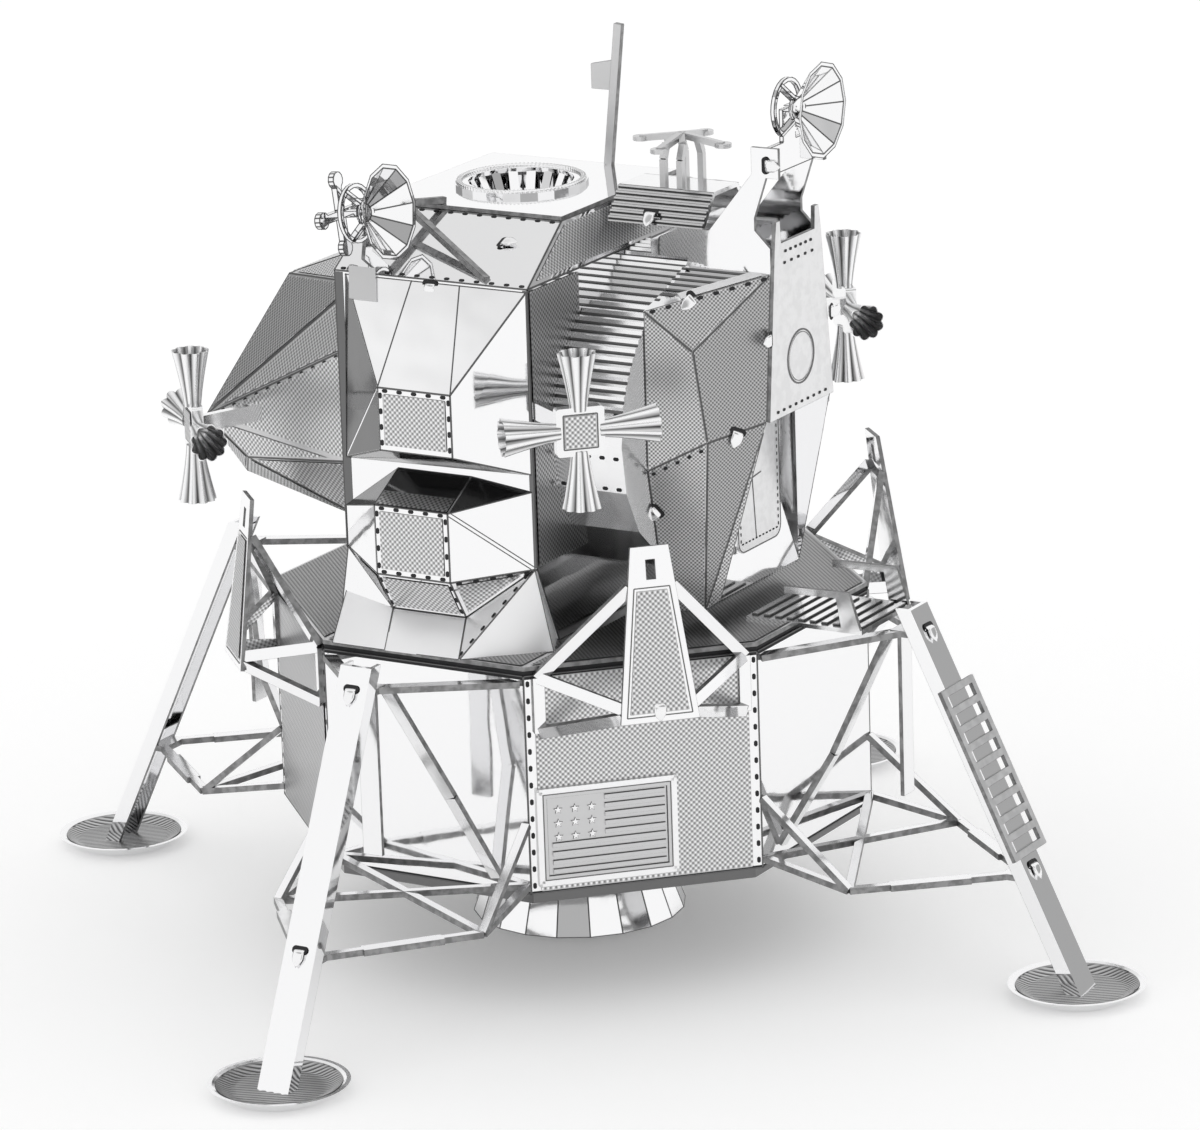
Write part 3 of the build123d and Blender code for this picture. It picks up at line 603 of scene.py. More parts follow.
bay = [face for face in flat_faces("aft_bay") if face.area > 2 and face.n[1] > -0.1 and face.n[2] > -0.9]
fields = [dimples(face.corners, face.n, 0.2) for face in bay]
dimpled_piece("bay_panels", fields)
BARE = 0.55
for x, y, name in CORNERS:
    corners, n = facet("descent_body", (x, y, 0))
    level = plane_axes(n)[0]
    across = (corners - corners.mean(0)) @ level
    corners = corners - (np.sign(across) * BARE)[:, None] * level
    dimpled_piece(f"side_panel_{name}", [dimples(corners, n, 0.17)])

# %% [markdown]
# The front wall of the middle section is dimpled as well, but only beside the cabin, which hides
# the rest. Its upright part is as high as the side walls, so their corners give its height.

# %% Dimples on the front of the middle section
front_wall, front = facet("midsection", (0, -1, 0))
side_wall = facet("midsection", (-1, 0, 0))[0]
wall_x = front_wall[:, 0].max()
wall_low, wall_top = side_wall[:, 2].min(), side_wall[:, 2].max()
BEHIND_CABIN = 9.0
fields = []
for s in (-1, 1):
    ring = np.array([(s * wall_x, front_wall[0, 1], z) for z in (wall_low, wall_top)])
    ring = np.concatenate([ring, ring[::-1] * (BEHIND_CABIN / wall_x, 1, 1)])
    fields.append(dimples(outline(ring, front), front, 0.2))
# The darker dimples paint the shade on this wall, set back under the roof behind the cabin.
dimpled_piece("middle_front", fields, DIMPLED_SHADE)

# %% [markdown]
# The deck between the stages is dimpled too. Only the parts that the ascent stage leaves open
# get hills: a front and a rear field, and a narrow one along each side.

# %% Dimples on the deck
deck, level = facet("descent_deck", (0, 0, 1))
half_body = np.abs(deck[:, :2]).max()
half_side = np.abs(deck[:, :2]).min()
deck_low, deck_top = (c[2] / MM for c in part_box("descent_deck"))
h, s = half_body, half_side
foot_x = np.abs(facet("midsection", (0, 0, -1))[0][:, 0]).max()
FIELDS = {
    "front": [(-s, -h), (s, -h), (h, -s), (-h, -s)],
    "rear": [(s, h), (-s, h), (-h, s), (h, s)],
    "right": [(-h, s), (-h, -s), (-foot_x, -s), (-foot_x, s)],
    "left": [(h, -s), (h, s), (foot_x, s), (foot_x, -s)],
}
# The darker dimples paint the shade and dark reflection on the deck under the ascent stage.
for name, ring in FIELDS.items():
    corners = np.array([(x, y, deck_top) for x, y in ring])
    dimpled_piece(f"deck_field_{name}", [dimples(corners, level, 0.25)], DIMPLED_SHADE)

# %% [markdown]
# ## Slotted folds
# The sheet is bent along rows of short etched slots, which show as black ovals. Each row lies
# beside the edge that two faces of a solid share, so both ends are read from the frame. An oval
# is a small flat polygon; a whole area's ovals make one mesh.

# %% Rows of slots
ON_SHEET = 0.03
OVER_DIMPLES = 0.12


def ovals(p, q, n, long=0.43, wide=0.27, pitch=1.22, lift=ON_SHEET):
    """Ovals from p to q in a plane with normal n: two half circles joined by straight sides."""
    along = unit(q - p)
    across = np.cross(n, along)
    count = max(int(round(np.linalg.norm(q - p) / pitch)), 1)
    centre = p + ((np.arange(count) + 0.5) / count)[:, None] * (q - p) + lift * n
    turn = (np.arange(12) + 0.5) * 2 * np.pi / 12
    a = wide / 2 * np.cos(turn) + np.sign(np.cos(turn)) * (long - wide) / 2
    b = wide / 2 * np.sin(turn)
    return polygon_part(centre[:, None] + a[:, None] * along + b[:, None] * across)


def shared_edge(node, toward, other, step):
    """Ends of the edge between two faces, moved by step into the first, and its normal."""
    corners, n = facet(node, toward)
    rest, m = facet(node, other)
    mine = corners[np.abs((corners - rest[0]) @ m) < 0.06]
    theirs = rest[np.abs((rest - corners[0]) @ n) < 0.06]
    along = unit(np.cross(n, m))
    a, b = (mine - mine[0]) @ along, (theirs - mine[0]) @ along
    inner = np.cross(n, along)
    inner = inner * np.sign(inner @ (corners.mean(0) - mine[0]))
    ends = np.array([max(a.min(), b.min()), min(a.max(), b.max())])
    p, q = mine[0] + inner * step + ends[:, None] * along
    return p, q, n


# One row per fold: piece, solid, face that carries the slots, face across the fold, inset
FOLDS = []
for x in (-1, 1):
    for y in (-1, 1):
        FOLDS += [
            ("descent_folds", "descent_body", (x, y, 0), (x, 0, 0), 0.28),
            ("descent_folds", "descent_body", (x, y, 0), (0, y, 0), 0.28),
        ]
for s, side in ((-1, "right"), (1, "left")):
    upper, lower = f"bulge_upper_{side}", f"bulge_lower_{side}"
    FOLDS += [
        ("tank_folds", upper, (s, 0, 0), (0.89 * s, 0, 0.45), 0.2),
        ("tank_folds", upper, (s, 0, 0), (0.79 * s, -0.61, 0), 0.2),
        ("tank_folds", upper, (s, 0, 0), (0.83 * s, 0.56, 0), 0.2),
        ("tank_folds", lower, (s, 0, 0.01), (0.46 * s, 0, 0.89), 0.2),
        ("tank_folds", lower, (s, 0, 0.01), (0.81 * s, -0.59, 0), 0.2),
        ("tank_folds", lower, (s, 0, 0.01), (0.80 * s, 0.61, 0), 0.2),
        ("tank_folds", lower, (s, 0, 0.01), (0.84 * s, 0, -0.54), 0.2),
        ("tank_folds", lower, (0.84 * s, 0, -0.54), (0.70 * s, -0.56, -0.44), 0.15),
        ("tank_folds", lower, (0.84 * s, 0, -0.54), (0.69 * s, 0.58, -0.44), 0.15),
        ("tank_folds", lower, (0.70 * s, -0.56, -0.44), (0.81 * s, -0.59, 0), 0.15),
        ("roof_folds", "midsection", (0.36 * s, 0, 0.93), (s, 0, 0), 0.3),
        ("roof_folds", "midsection", (0.36 * s, 0, 0.93), (0, 0, 1), 0.3),
        ("bay_folds", "aft_bay", (0.98 * s, 0.18, 0), (0.81 * s, 0.37, 0.46), 0.2),
        ("mask_folds", "front_mask", (0.73 * s, -0.61, 0.31), (0.27 * s, 0, 0.96), 0.2),
        ("cabin_folds", "cabin", (0.99 * s, 0, -0.13), (0.89 * s, 0, -0.45), 0.25),
        ("cabin_folds", "cabin", (0.99 * s, 0, -0.13), (0.99 * s, 0, 0.16), 0.9),
        ("cabin_folds", "cabin", (0.99 * s, 0, 0.16), (0.99 * s, 0, -0.13), 2.2),
    ]
rows = {}
for name, node, toward, other, step in FOLDS:
    lift = OVER_DIMPLES if node == "front_mask" else ON_SHEET
    rows.setdefault(name, []).append(ovals(*shared_edge(node, toward, other, step), lift=lift))
for name, parts in rows.items():
    piece(name, parts, SLOT)

# %% [markdown]
# ## Cut edges and seams
# Etching eats through the sheet from both sides and leaves a dull, rough edge. That thin grey
# line round every strip and plate is what makes the folded metal legible on white. So each face
# narrower than the sheet's cut gets a dull cover, and folds between mirror faces a fine dark line:
# painted shade along the fold.

# %% Dull covers on narrow faces, fine lines on folds
CUT = 0.455
ON_EDGE, ON_FOLD = 0.012, 0.02
SHORTEST_FOLD = 0.3
EDGED = (
    "leg_", "outrigger", "truss", "ladder", "porch", "plume", "front_plate", "radar_arm", "descent_deck",
    "top_deck", "mast", "side_dish_mount",
)
for node in [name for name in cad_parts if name.startswith(EDGED)]:
    narrow = [face for face in flat_faces(node) if face.area > 0.01 and face.area / reach(face) < CUT]
    covers = [polygon_part(face.triangles + ON_EDGE * face.n) for face in narrow]
    piece(f"{node}_edges", covers, CUT_EDGE)


def fold_lines(node, wide, least=0.14, hollow=False):
    """Thin strips along both sides of every sharp edge of a solid, or of its hollow ones only.

    Triangles are matched by their shared pairs of corners; where two normals differ by more
    than least radians, a strip as wide as asked lies on each face along the edge. An edge is
    hollow if the middle of one triangle lies in front of the other's plane.
    """
    t = triangles(node)
    n = np.cross(t[:, 1] - t[:, 0], t[:, 2] - t[:, 0])
    n = n / np.maximum(np.linalg.norm(n, axis=1), 1e-9)[:, None]
    _, spot = np.unique(np.round(t.reshape(-1, 3), 3), axis=0, return_inverse=True)
    spot = spot.reshape(-1, 3)
    pair = np.sort(np.stack([spot, np.roll(spot, -1, 1)], -1), -1).reshape(-1, 2)
    _, group, count = np.unique(pair, axis=0, return_inverse=True, return_counts=True)
    order = np.argsort(group.reshape(-1), kind="stable")
    first = (np.cumsum(count) - count)[count == 2]
    one, two = order[first], order[first + 1]
    sharp = (n[one // 3] * n[two // 3]).sum(1) < np.cos(least)
    front = ((t[two // 3].mean(1) - t[one // 3, one % 3]) * n[one // 3]).sum(1) > 1e-4
    sharp = sharp & front if hollow else sharp
    side = np.concatenate([one[sharp], two[sharp]])
    p, q = t[side // 3, side % 3], t[side // 3, (side + 1) % 3]
    face = n[side // 3]
    long = np.linalg.norm(q - p, axis=1)
    inner = np.cross(face, (q - p) / np.maximum(long, 1e-9)[:, None])
    p, q = p + ON_FOLD * face, q + ON_FOLD * face
    ring = np.stack([p, q, q + wide * inner, p + wide * inner], 1)
    return polygon_part(ring[long > SHORTEST_FOLD])


# One row per group of solids: start of the name, width, least angle, only hollow edges
FINE_LINES = [
    ("midsection", 0.07, 0.14, False),
    ("aft_bay", 0.07, 0.14, False),
    ("descent_body", 0.07, 0.14, False),
    ("bulge", 0.07, 0.14, False),
    ("cabin", 0.13, 0.3, True),
    ("roof", 0.09, 0.3, True),
    ("porch", 0.08, 0.3, True),
    ("flag_plate", 0.05, 0.3, True),
    ("engine_bell", 0.05, 0.14, False),
    ("radar_dish", 0.05, 0.3, False),
    ("side_dish", 0.05, 0.3, False),
]
# Each fine line is painted shade along a fold; on the cabin, roof, porch and flag only the hollow folds get
# it, the creases between ribs and stripes.
for start, wide, least, hollow in FINE_LINES:
    for node in [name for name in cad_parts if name.startswith(start) and name != "side_dish_mount"]:
        piece(f"{node}_lines", [fold_lines(node, wide, least, hollow)], LINE_AND_CREASE_SHADE)

# %% [markdown]
# Open joints run round the descent stage, under the deck and at the foot of its sides, and look
# black. Cutting them into the solids isn't possible here, so bands of black sheet stand for them:
# painted shade in the gaps.

# %% Painted shade in the open joints round the descent stage


def octagon_band(out, low, high):
    """Upright band on the body's outline moved out by a distance."""
    h, s = half_body + out, half_side + out * (np.sqrt(2) - 1)
    ring = np.array([(-h, -s), (-s, -h), (s, -h), (h, -s), (h, s), (s, h), (-s, h), (-h, s), (-h, -s)])
    place = np.stack([np.c_[ring, np.full(9, z)] for z in (low, high)], 1)
    return grid_part(place)


body_low, body_top = (c[2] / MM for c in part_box("descent_body"))
# One row per band: distance out from the sides, lower edge, upper edge
JOINT_SHADE_BANDS = [
    (-0.1, deck_low - 0.36, deck_low + 0.01),
    (0.015, body_top - 0.62, body_top - 0.33),
    (0.015, body_low + 0.01, body_low + 0.2),
]
piece("open_joints", [octagon_band(*row) for row in JOINT_SHADE_BANDS], SLOT)

# %% [markdown]
# ## Lines and plates on single faces
# The front plate has an etched ring and rows of slots. Cutting them into a solid would take many
# faces for marks a few hundredths deep, so flat strokes, rings and ovals lie just over the sheet.

# %% Strokes and rings, and the front plate


def strokes(points, n, wide=0.12, lift=ON_SHEET):
    """Straight strokes between the points of a path, each a thin rectangle in the plane of n."""
    p = np.asarray(points, float)
    along = np.diff(p, axis=0)
    across = np.cross(n, along / np.linalg.norm(along, axis=1)[:, None]) * wide / 2
    ring = np.stack([p[:-1] - across, p[1:] - across, p[1:] + across, p[:-1] + across], 1)
    return polygon_part(ring + lift * n)


def circle(centre, n, radius, wide, lift=ON_SHEET, points=48):
    """Flat ring of the given width: two circles joined by quads."""
    u, v = plane_axes(n)
    turn = np.arange(points + 1) * 2 * np.pi / points
    spoke = np.cos(turn)[:, None] * u + np.sin(turn)[:, None] * v
    reach = np.array([radius + wide / 2, radius - wide / 2])
    return grid_part(centre + lift * n + reach[None, :, None] * spoke[:, None])


plate, ahead = facet("front_plate", (0, -1, 0))
plate_y = plate[0, 1]
PLATE_RING_Z = 44.2
# One row per line of slots: height, half its length, distance between slots
PLATE_ROWS = [(40.95, 3.9, 0.85), (51.35, 2.5, 1.0), (52.15, 2.2, 0.75)]
middle = np.array([0.0, plate_y, PLATE_RING_Z])
piece("plate_ring", [circle(middle, ahead, 1.9, 0.12), circle(middle, ahead, 1.72, 0.05)], LINE_AND_CREASE_SHADE)
rows = []
for z, half, pitch in PLATE_ROWS:
    start, stop = np.array([-half, plate_y, z]), np.array([half, plate_y, z])
    rows.append(ovals(start, stop, ahead, 0.34, 0.22, pitch))
piece("plate_slots", rows, SLOT)

# %% [markdown]
# The flag is a plate with a field of stars and a pale frame. An image on the plate would blur in a
# close view, so each star is a bright polygon over a larger dark one and reads as etched.

# %% Flag


def star(centre, u, v, radius):
    """Five-pointed star: ten corners whose distance alternates between long and short."""
    turn = np.pi / 2 + np.arange(10) * np.pi / 5
    reach = radius * np.where(np.arange(10) % 2, 0.42, 1.0)
    return centre + (reach * np.cos(turn))[:, None] * u + (reach * np.sin(turn))[:, None] * v


flag_out = unit((-1.0, -1.0, 0.0))
flag_points = triangles("flag_plate").reshape(-1, 3)
flag_ring = outline(flag_points @ (np.eye(3) - np.outer(flag_out, flag_out)), flag_out)
u, v = plane_axes(flag_out)
depth = (flag_points @ flag_out).max()
left, right = (flag_ring @ u).min(), (flag_ring @ u).max()
low, high = flag_ring[:, 2].min(), flag_ring[:, 2].max()


def on_flag(a, b, deep):
    """Point at shares a and b of the flag's width and height, deep below its face."""
    return (left + a * (right - left)) * u + (low + b * (high - low)) * v + (depth - deep) * flag_out


def inside_flag(a, b, lift):
    """Closed path at shares a and b inside the flag's edges, lift over its face."""
    ring = [(a, b), (1 - a, b), (1 - a, 1 - b), (a, 1 - b)]
    return looped(np.array([on_flag(i, j, -lift) for i, j in ring]))


STAR_SPOTS = [(a, b) for a in (0.15, 0.27, 0.39) for b in (0.49, 0.63, 0.77)]
dark = [star(on_flag(a, b, 0.12), u, v, 0.36) for a, b in STAR_SPOTS]
light = [star(on_flag(a, b, 0.08), u, v, 0.29) for a, b in STAR_SPOTS]
piece("flag_star_grounds", [polygon_part(dark)], LINE_AND_CREASE_SHADE)
piece("flag_stars", [polygon_part(light)], BRIGHT)
FRAME_WIDE = 0.4
BORDER_A, BORDER_B = 0.045, 0.06
path = inside_flag(FRAME_WIDE / 2 / (right - left), FRAME_WIDE / 2 / (high - low), 0.008)
piece("flag_frame", [strokes(path, flag_out, FRAME_WIDE, 0.0)], PALE)
path = inside_flag(BORDER_A, BORDER_B, 0.012)
piece("flag_border", [strokes(path, flag_out, 0.08, 0.0)], LINE_AND_CREASE_SHADE)

# %% [markdown]
# Each plume deflector has a dimpled field inside a plain border, with a scribed line round it. The
# field ends below the head of the sheet, so only a share of the face's height is taken.

# %% Deflectors
DEFLECTOR_SHARE = 0.8


def by_height(corners):
    """Corners from the lowest to the highest."""
    return corners[np.argsort(corners[:, 2])]


def part_way(near, far, n, share):
    """Outline between one edge and the line a share of the way to the opposite edge."""
    far = far if (far[1] - far[0]) @ (near[1] - near[0]) > 0 else far[::-1]
    return outline(np.concatenate([near, near + share * (far - near)]), n)


for x, y, corner in CORNERS:
    corners, n = facet(f"plume_deflector_{corner}", (0.70 * x, 0.70 * y, 0.13))
    corners = by_height(corners)
    middle = part_way(corners[:2], corners[-2:], n, DEFLECTOR_SHARE)
    dimpled_piece(f"deflector_panel_{corner}", [dimples(middle, n, 0.62)])
    ring = inset(middle, n, 0.42)
    piece(f"deflector_line_{corner}", [strokes(looped(ring), n, 0.08)], LINE_AND_CREASE_SHADE)

# %% [markdown]
# The tank covers carry a few more scribed lines, and some of their mirror faces look into the
# dark gap between the covers or at the unlit rear of the room. These get a plate of dark sheet, a
# painted reflection of that shade. The top strip of each lower cover, under the upper one, gets
# darker dimples as painted shade.

# %% Tank covers: scribed lines and painted shade
RIDGE_SHARE, RIDGE_SHIFT = 0.66, 0.1
STRIP_SHARE = 0.4
for s, side in ((-1, "right"), (1, "left")):
    upper, lower = f"bulge_upper_{side}", f"bulge_lower_{side}"
    top, n = facet(upper, (0.89 * s, 0, 0.45))
    edge_z = top[:, 2].max()
    square = facet(upper, (s, 0, 0))[0]
    shoulder = square[np.argsort(square[:, 2])[-2:]]
    ridge = [(s * wall_x, RIDGE_SHARE * corner[1] + RIDGE_SHIFT, edge_z) for corner in shoulder]
    lines = [strokes([end, corner], n, 0.08) for end, corner in zip(ridge, shoulder)]
    square = facet(lower, (s, 0, 0.01))[0]
    face, n = facet(lower, (0.81 * s, -0.59, 0))
    start = square[np.argmax(square[:, 2] - square[:, 1])]
    end = face[np.argmin(face[:, 2] + face[:, 1])]
    aside = unit(np.cross(n, end - start)) * 0.13
    lines += [strokes([start + k * aside, end + k * aside], n, 0.07) for k in (-1, 1)]
    piece(f"tank_lines_{side}", lines, LINE_AND_CREASE_SHADE)
    shaded = [face for face in flat_faces(lower) if face.n[2] > 0.35 and face.area > 0.5]
    shaded += [face for face in flat_faces(upper) if face.n[2] < -0.35 or face.n[1] > 0.4]
    covers = [inset(face.corners, face.n, 0.08) + 0.015 * face.n for face in shaded]
    piece(f"tank_shade_{side}", [polygon_part(ring) for ring in covers], PAINTED_SHADE_SHEET)
    # The top strip lies under the upper cover: its darker dimples are painted shade.
    face, n = facet(lower, (0.46 * s, 0, 0.89))
    face = face[np.argsort(np.abs(face[:, 0]))]
    strip = part_way(face[-2:], face[:2], n, STRIP_SHARE)
    dimpled_piece(f"tank_strip_{side}", [dimples(strip, n, 0.1)], DIMPLED_SHADE)

# %% [markdown]
# ## Bodies with flat faces
# Four forms of the model need more than marks on the solids: the mask with its hatch wall set
# back under the front plate, the flared skirt of the lower tank covers, the thrusters' thin plates
# and bells, and a small plate that hangs from the side dish's mount. The flat ones are closed
# bodies given by corners and faces; every face is turned to look away from a point inside.

# %% A closed body from corners and faces


def flat_body(points, faces, inside):
    """Faces listed by corner numbers, each turned to look away from its own inside point."""
    points = np.asarray(points, float)
    turned = []
    for face, core in zip(faces, inside):
        ring = points[list(face)]
        n = np.cross(ring[1] - ring[0], ring[2] - ring[0])
        turned.append(face if n @ (ring[0] - core) > 0 else face[::-1])
    return points, np.concatenate(turned), np.array([len(face) for face in turned]), np.zeros(len(points))


def ring_normal(ring, inside):
    """Normal of a flat ring, away from a point inside."""
    n = unit(np.cross(ring[1] - ring[0], ring[2] - ring[0]))
    return n * np.sign(n @ (ring[0] - inside))


def rounded(centre, n, half_u, half_v, radius, points=6):
    """Rectangle in the plane of n whose corners are quarter circles."""
    u, v = plane_axes(n)
    quarter = np.arange(4)[:, None] * np.pi / 2
    turn = quarter + np.linspace(0, np.pi / 2, points)
    a = radius * np.cos(turn) + np.sign(np.cos(quarter + 0.8)) * (half_u - radius)
    b = radius * np.sin(turn) + np.sign(np.sin(quarter + 0.8)) * (half_v - radius)
    return centre + a.reshape(-1, 1) * u + b.reshape(-1, 1) * v


def plate_part(ring, n, thick):
    """Plate: a ring, the same ring moved by thick along n, and the walls between them."""
    m = len(ring)
    k = np.arange(m)
    after = (k + 1) % m
    walls = np.stack([k, after, after + m, k + m], 1)
    corner = np.concatenate([k[::-1], k + m, walls.reshape(-1)])
    sides = np.concatenate([[m, m], np.full(m, 4)])
    return np.concatenate([ring, ring + thick * n]), corner, sides, np.zeros(2 * m)


# %% [markdown]
# ## Front mask
# Each side of the mask has a brow triangle, two window panels and two lower panels that run down
# to a point just over the deck. The upper corners are the solid's own. The knee is where the two
# window panels' planes meet; the points and the upright hatch wall are new. All slanting panels
# are dimpled more finely than the big boxes, with a thin dark seam between them.

# %% Corners of the mask
# The lower points and the hatch wall: half distance apart, place, height over the deck
POINT_X, POINT_Y, POINT_UP = 6.6, -15.1, 1.25
WALL_HALF, WALL_Y, WALL_UP = 5.73, -15.9, 1.9


def mask_side(s):
    """Corners of one side, in the order in which the faces below number them."""
    fold, side, plate_top = by_height(facet("front_mask", (0.73 * s, -0.61, 0.31))[0])
    waist = by_height(facet("front_mask", (0.92 * s, -0.40, 0.01))[0])[0]
    plate_foot = by_height(facet("front_mask", (0.62 * s, -0.78, 0.07))[0])[0]
    knee_z = by_height(facet("front_mask", (0.70 * s, -0.69, -0.17))[0])[1, 2]
    crease = np.cross(np.cross(side - fold, waist - fold), np.cross(plate_foot - fold, plate_top - fold))
    knee = fold + crease * (knee_z - fold[2]) / crease[2]
    point = np.array([s * POINT_X, POINT_Y, deck_top + POINT_UP])
    n = np.cross(waist - knee, point - knee)
    heel = np.array([0.0, side[1], point[2]])
    heel[0] = knee[0] - n[1:] @ (heel - knee)[1:] / n[0]
    brow = np.array([plate_top[0], side[1], plate_top[2]])
    wall_foot = np.array([s * WALL_HALF, WALL_Y, deck_top + WALL_UP])
    wall_top = np.array([s * WALL_HALF, WALL_Y, plate_foot[2]])
    return [brow, side, waist, heel, fold, knee, plate_foot, plate_top, point, wall_foot, wall_top]


corners = np.array(mask_side(-1) + mask_side(1))
PER_SIDE = len(corners) // 2
MASK_SIDES = ((0, -1), (PER_SIDE, 1))
print("mask corners on each side:", PER_SIDE)

# %% [markdown]
# The faces are listed by corner numbers, once for a side and once for those that cross the middle.
# Panels that face the front look darker, so they get the darker dimples: painted shade.

# %% Faces of the mask
FINE_DIMPLE = 0.29
SEAM = 0.055
CORE = np.array([0.0, -14.0, 43.0])
WEDGE_Y, WEDGE_Z = -16.3, 38.5
# Faces of one side, and faces across both sides (numbers from 11 are the other side's corners)
SLANTING = [(7, 4, 1), (1, 4, 5, 2), (4, 7, 6, 5), (2, 5, 8, 3), (5, 6, 8)]
CHEEKS = [(6, 8, 9), (6, 9, 10)]
ACROSS = [
    (7, 6, 17, 18), (6, 10, 21, 17), (10, 9, 20, 21), (9, 8, 19, 20), (8, 3, 14, 19), (7, 0, 11, 18),
    (0, 1, 2, 3, 14, 13, 12, 11),
]
FACING_FRONT = (2, 4)
faces, inside = list(ACROSS), [CORE] * len(ACROSS)
panels, shaded, seams, low_row = [], [], [], []
for k, s in MASK_SIDES:
    wedge = np.array([s * POINT_X, WEDGE_Y, WEDGE_Z])
    for face in SLANTING + CHEEKS + [(7, 1, 0)]:
        faces.append(tuple(np.array(face) + k))
        inside.append(wedge)
    for number, face in enumerate(SLANTING + CHEEKS[:1]):
        ring = corners[np.array(face) + k]
        n = ring_normal(ring, wedge)
        ring = outline(ring, n)
        group = shaded if number in FACING_FRONT else panels
        group.append(dimples(ring, n, SEAM + 0.02, 0.03, FINE_DIMPLE))
        ring = inset(ring, n, SEAM / 2)
        seams.append(strokes(looped(ring), n, SEAM))
    knee, waist, point = corners[[k + 5, k + 2, k + 8]]
    n = ring_normal(corners[np.array(SLANTING[3]) + k], wedge)
    aside = unit(point - knee) * 0.4
    low_row.append(ovals(knee + aside, waist + aside, n, 0.32, 0.24, 0.9, OVER_DIMPLES))
body = piece("front_sheet", [flat_body(corners, faces, inside)], MIRROR)
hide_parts("front_mask")
dimpled_piece("mask_panels", panels, DIMPLED_MASK)
dimpled_piece("mask_front_panels", shaded, DIMPLED_SHADE)
piece("mask_seams", seams, LINE_AND_CREASE_SHADE)
piece("mask_slots", low_row, SLOT)

# %% [markdown]
# The ribs of the cabin's skin run on over the brow, up to a plain flange along its front edge. The
# brow is flat, so dark strokes between the ribs paint the shade of their grooves, and a pale plate
# stands for the flange.

# %% Ribs on the brow
RIB_PITCH = 0.72
FLANGE = 1.3
FLANGE_FROM, FLANGE_TO, FLANGE_SHARE = 0.3, 0.94, 0.75
ribs, flanges = [], []
for k, _ in MASK_SIDES:
    brow, side, top = corners[k], corners[k + 1], corners[k + 7]
    n = ring_normal(np.array([brow, side, top]), np.array([brow[0], brow[1], 0.0]))
    rim = top - side
    inwards = unit(brow - side - unit(rim) * ((brow - side) @ unit(rim)))
    edge = np.array([side + FLANGE_FROM * rim, side + FLANGE_TO * rim]) + 0.12 * inwards
    ring = np.concatenate([edge, edge[::-1] + FLANGE_SHARE * FLANGE * inwards]) + 0.04 * n
    flanges.append(polygon_part(outline(ring, n)))
    width = abs(side[0] - brow[0])
    share = (np.arange(int(width / RIB_PITCH)) + 0.5) * RIB_PITCH / width
    start = brow + share[:, None] * (side - brow)
    reach_y = np.clip((1 - share) * (brow[1] - top[1]) - FLANGE, 0, None)
    stop = start - reach_y[:, None] * np.array([0.0, 1.0, 0.0])
    ribs += [strokes([p, q], n, 0.26) for p, q in zip(start, stop) if p[1] - q[1] > 0.3]
piece("brow_ribs", ribs, LINE_AND_CREASE_SHADE)
piece("brow_flanges", flanges, PALE)

# %% [markdown]
# Before and behind the tank covers a narrow strip of the side wall stays free and mirrors the dark
# gap there. Such a reflection depends on the room, so plates of dark sheet paint that reflection
# over the strips.

# %% Painted dark reflection on the free strips of the side walls
wall_front, wall_rear = side_wall[:, 1].min(), side_wall[:, 1].max()
FREE = [(wall_rear - 0.7, wall_rear - 0.05), (wall_front + 0.05, wall_front + 0.4)]
strips = []
for s in (-1, 1):
    for near, far in FREE:
        ring = [(s * (wall_x + 0.02), y, z) for y in (near, far) for z in (wall_low + 0.1, wall_top - 0.1)]
        strips.append(polygon_part(outline(np.array(ring), np.array([s, 0.0, 0.0]))))
piece("wall_strips", strips, PAINTED_SHADE_SHEET)

# %% [markdown]
# The mount of the side dish ends in a small square plate, bent down over the corner of the cover. A
# loose card would float over the slope, so the plate is laid on the plane of the cover's own face.

# %% Hanging plate of the side dish
HANG_WIDE = 2.2
HANG_TALL = 2.4
HANG_THICK = 0.15
HANG_BACK = 0.25
HANG_START_Y = 7.2
HANG_LEAN = (-0.25, -0.23, -0.88)
cover, n = facet("bulge_upper_right", (-0.89, 0, 0.45))
ridge = cover[np.argmax(cover[:, 2])]
start = np.array([ridge[0], HANG_START_Y, ridge[2]]) + 0.02 * n
down = np.array(HANG_LEAN) - (np.array(HANG_LEAN) @ n) * n
start = start - HANG_BACK * HANG_TALL * unit(down)
down, across = HANG_TALL * unit(down), np.array([0.0, -HANG_WIDE, 0.0])
ring = outline(np.array([start, start + across, start + across + down, start + down]), n)
piece("dish_plate", [plate_part(ring, n, HANG_THICK)], DULL)

# %% [markdown]
# The hatch is only etched on its wall: a round-cornered field, a line with a row of dashes inside
# it, and a hooked handle. The field is a very thin plate, so that it stands for the hatch's solid,
# and the rest are strokes and ovals over it.

# %% Hatch on its wall
HATCH_HALF, HATCH_LOW, HATCH_TOP = 3.15, 30.0, 39.6
HATCH_ROUND, HATCH_THICK, ON_HATCH = 0.9, 0.08, 0.1
LINE_IN, DASH_IN, DASH_END = 0.08, 0.42, 0.7
HANDLE = [(0.4, 35.35), (-0.9, 35.2), (-0.5, 30.7)]
middle = np.array([0.0, WALL_Y, (HATCH_LOW + HATCH_TOP) / 2])
tall = (HATCH_TOP - HATCH_LOW) / 2
ring = rounded(middle, ahead, HATCH_HALF, tall, HATCH_ROUND)
field = piece("hatch_field", [plate_part(ring, ahead, HATCH_THICK)], SATIN)
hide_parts("hatch")
ring = rounded(middle, ahead, HATCH_HALF - LINE_IN, tall - LINE_IN, HATCH_ROUND - 0.05)
lines = [strokes(looped(ring), ahead, 0.08, ON_HATCH)]
lines.append(strokes([(x, WALL_Y, z) for x, z in HANDLE], ahead, 0.1, ON_HATCH))
piece("hatch_lines", lines, LINE_AND_CREASE_SHADE)
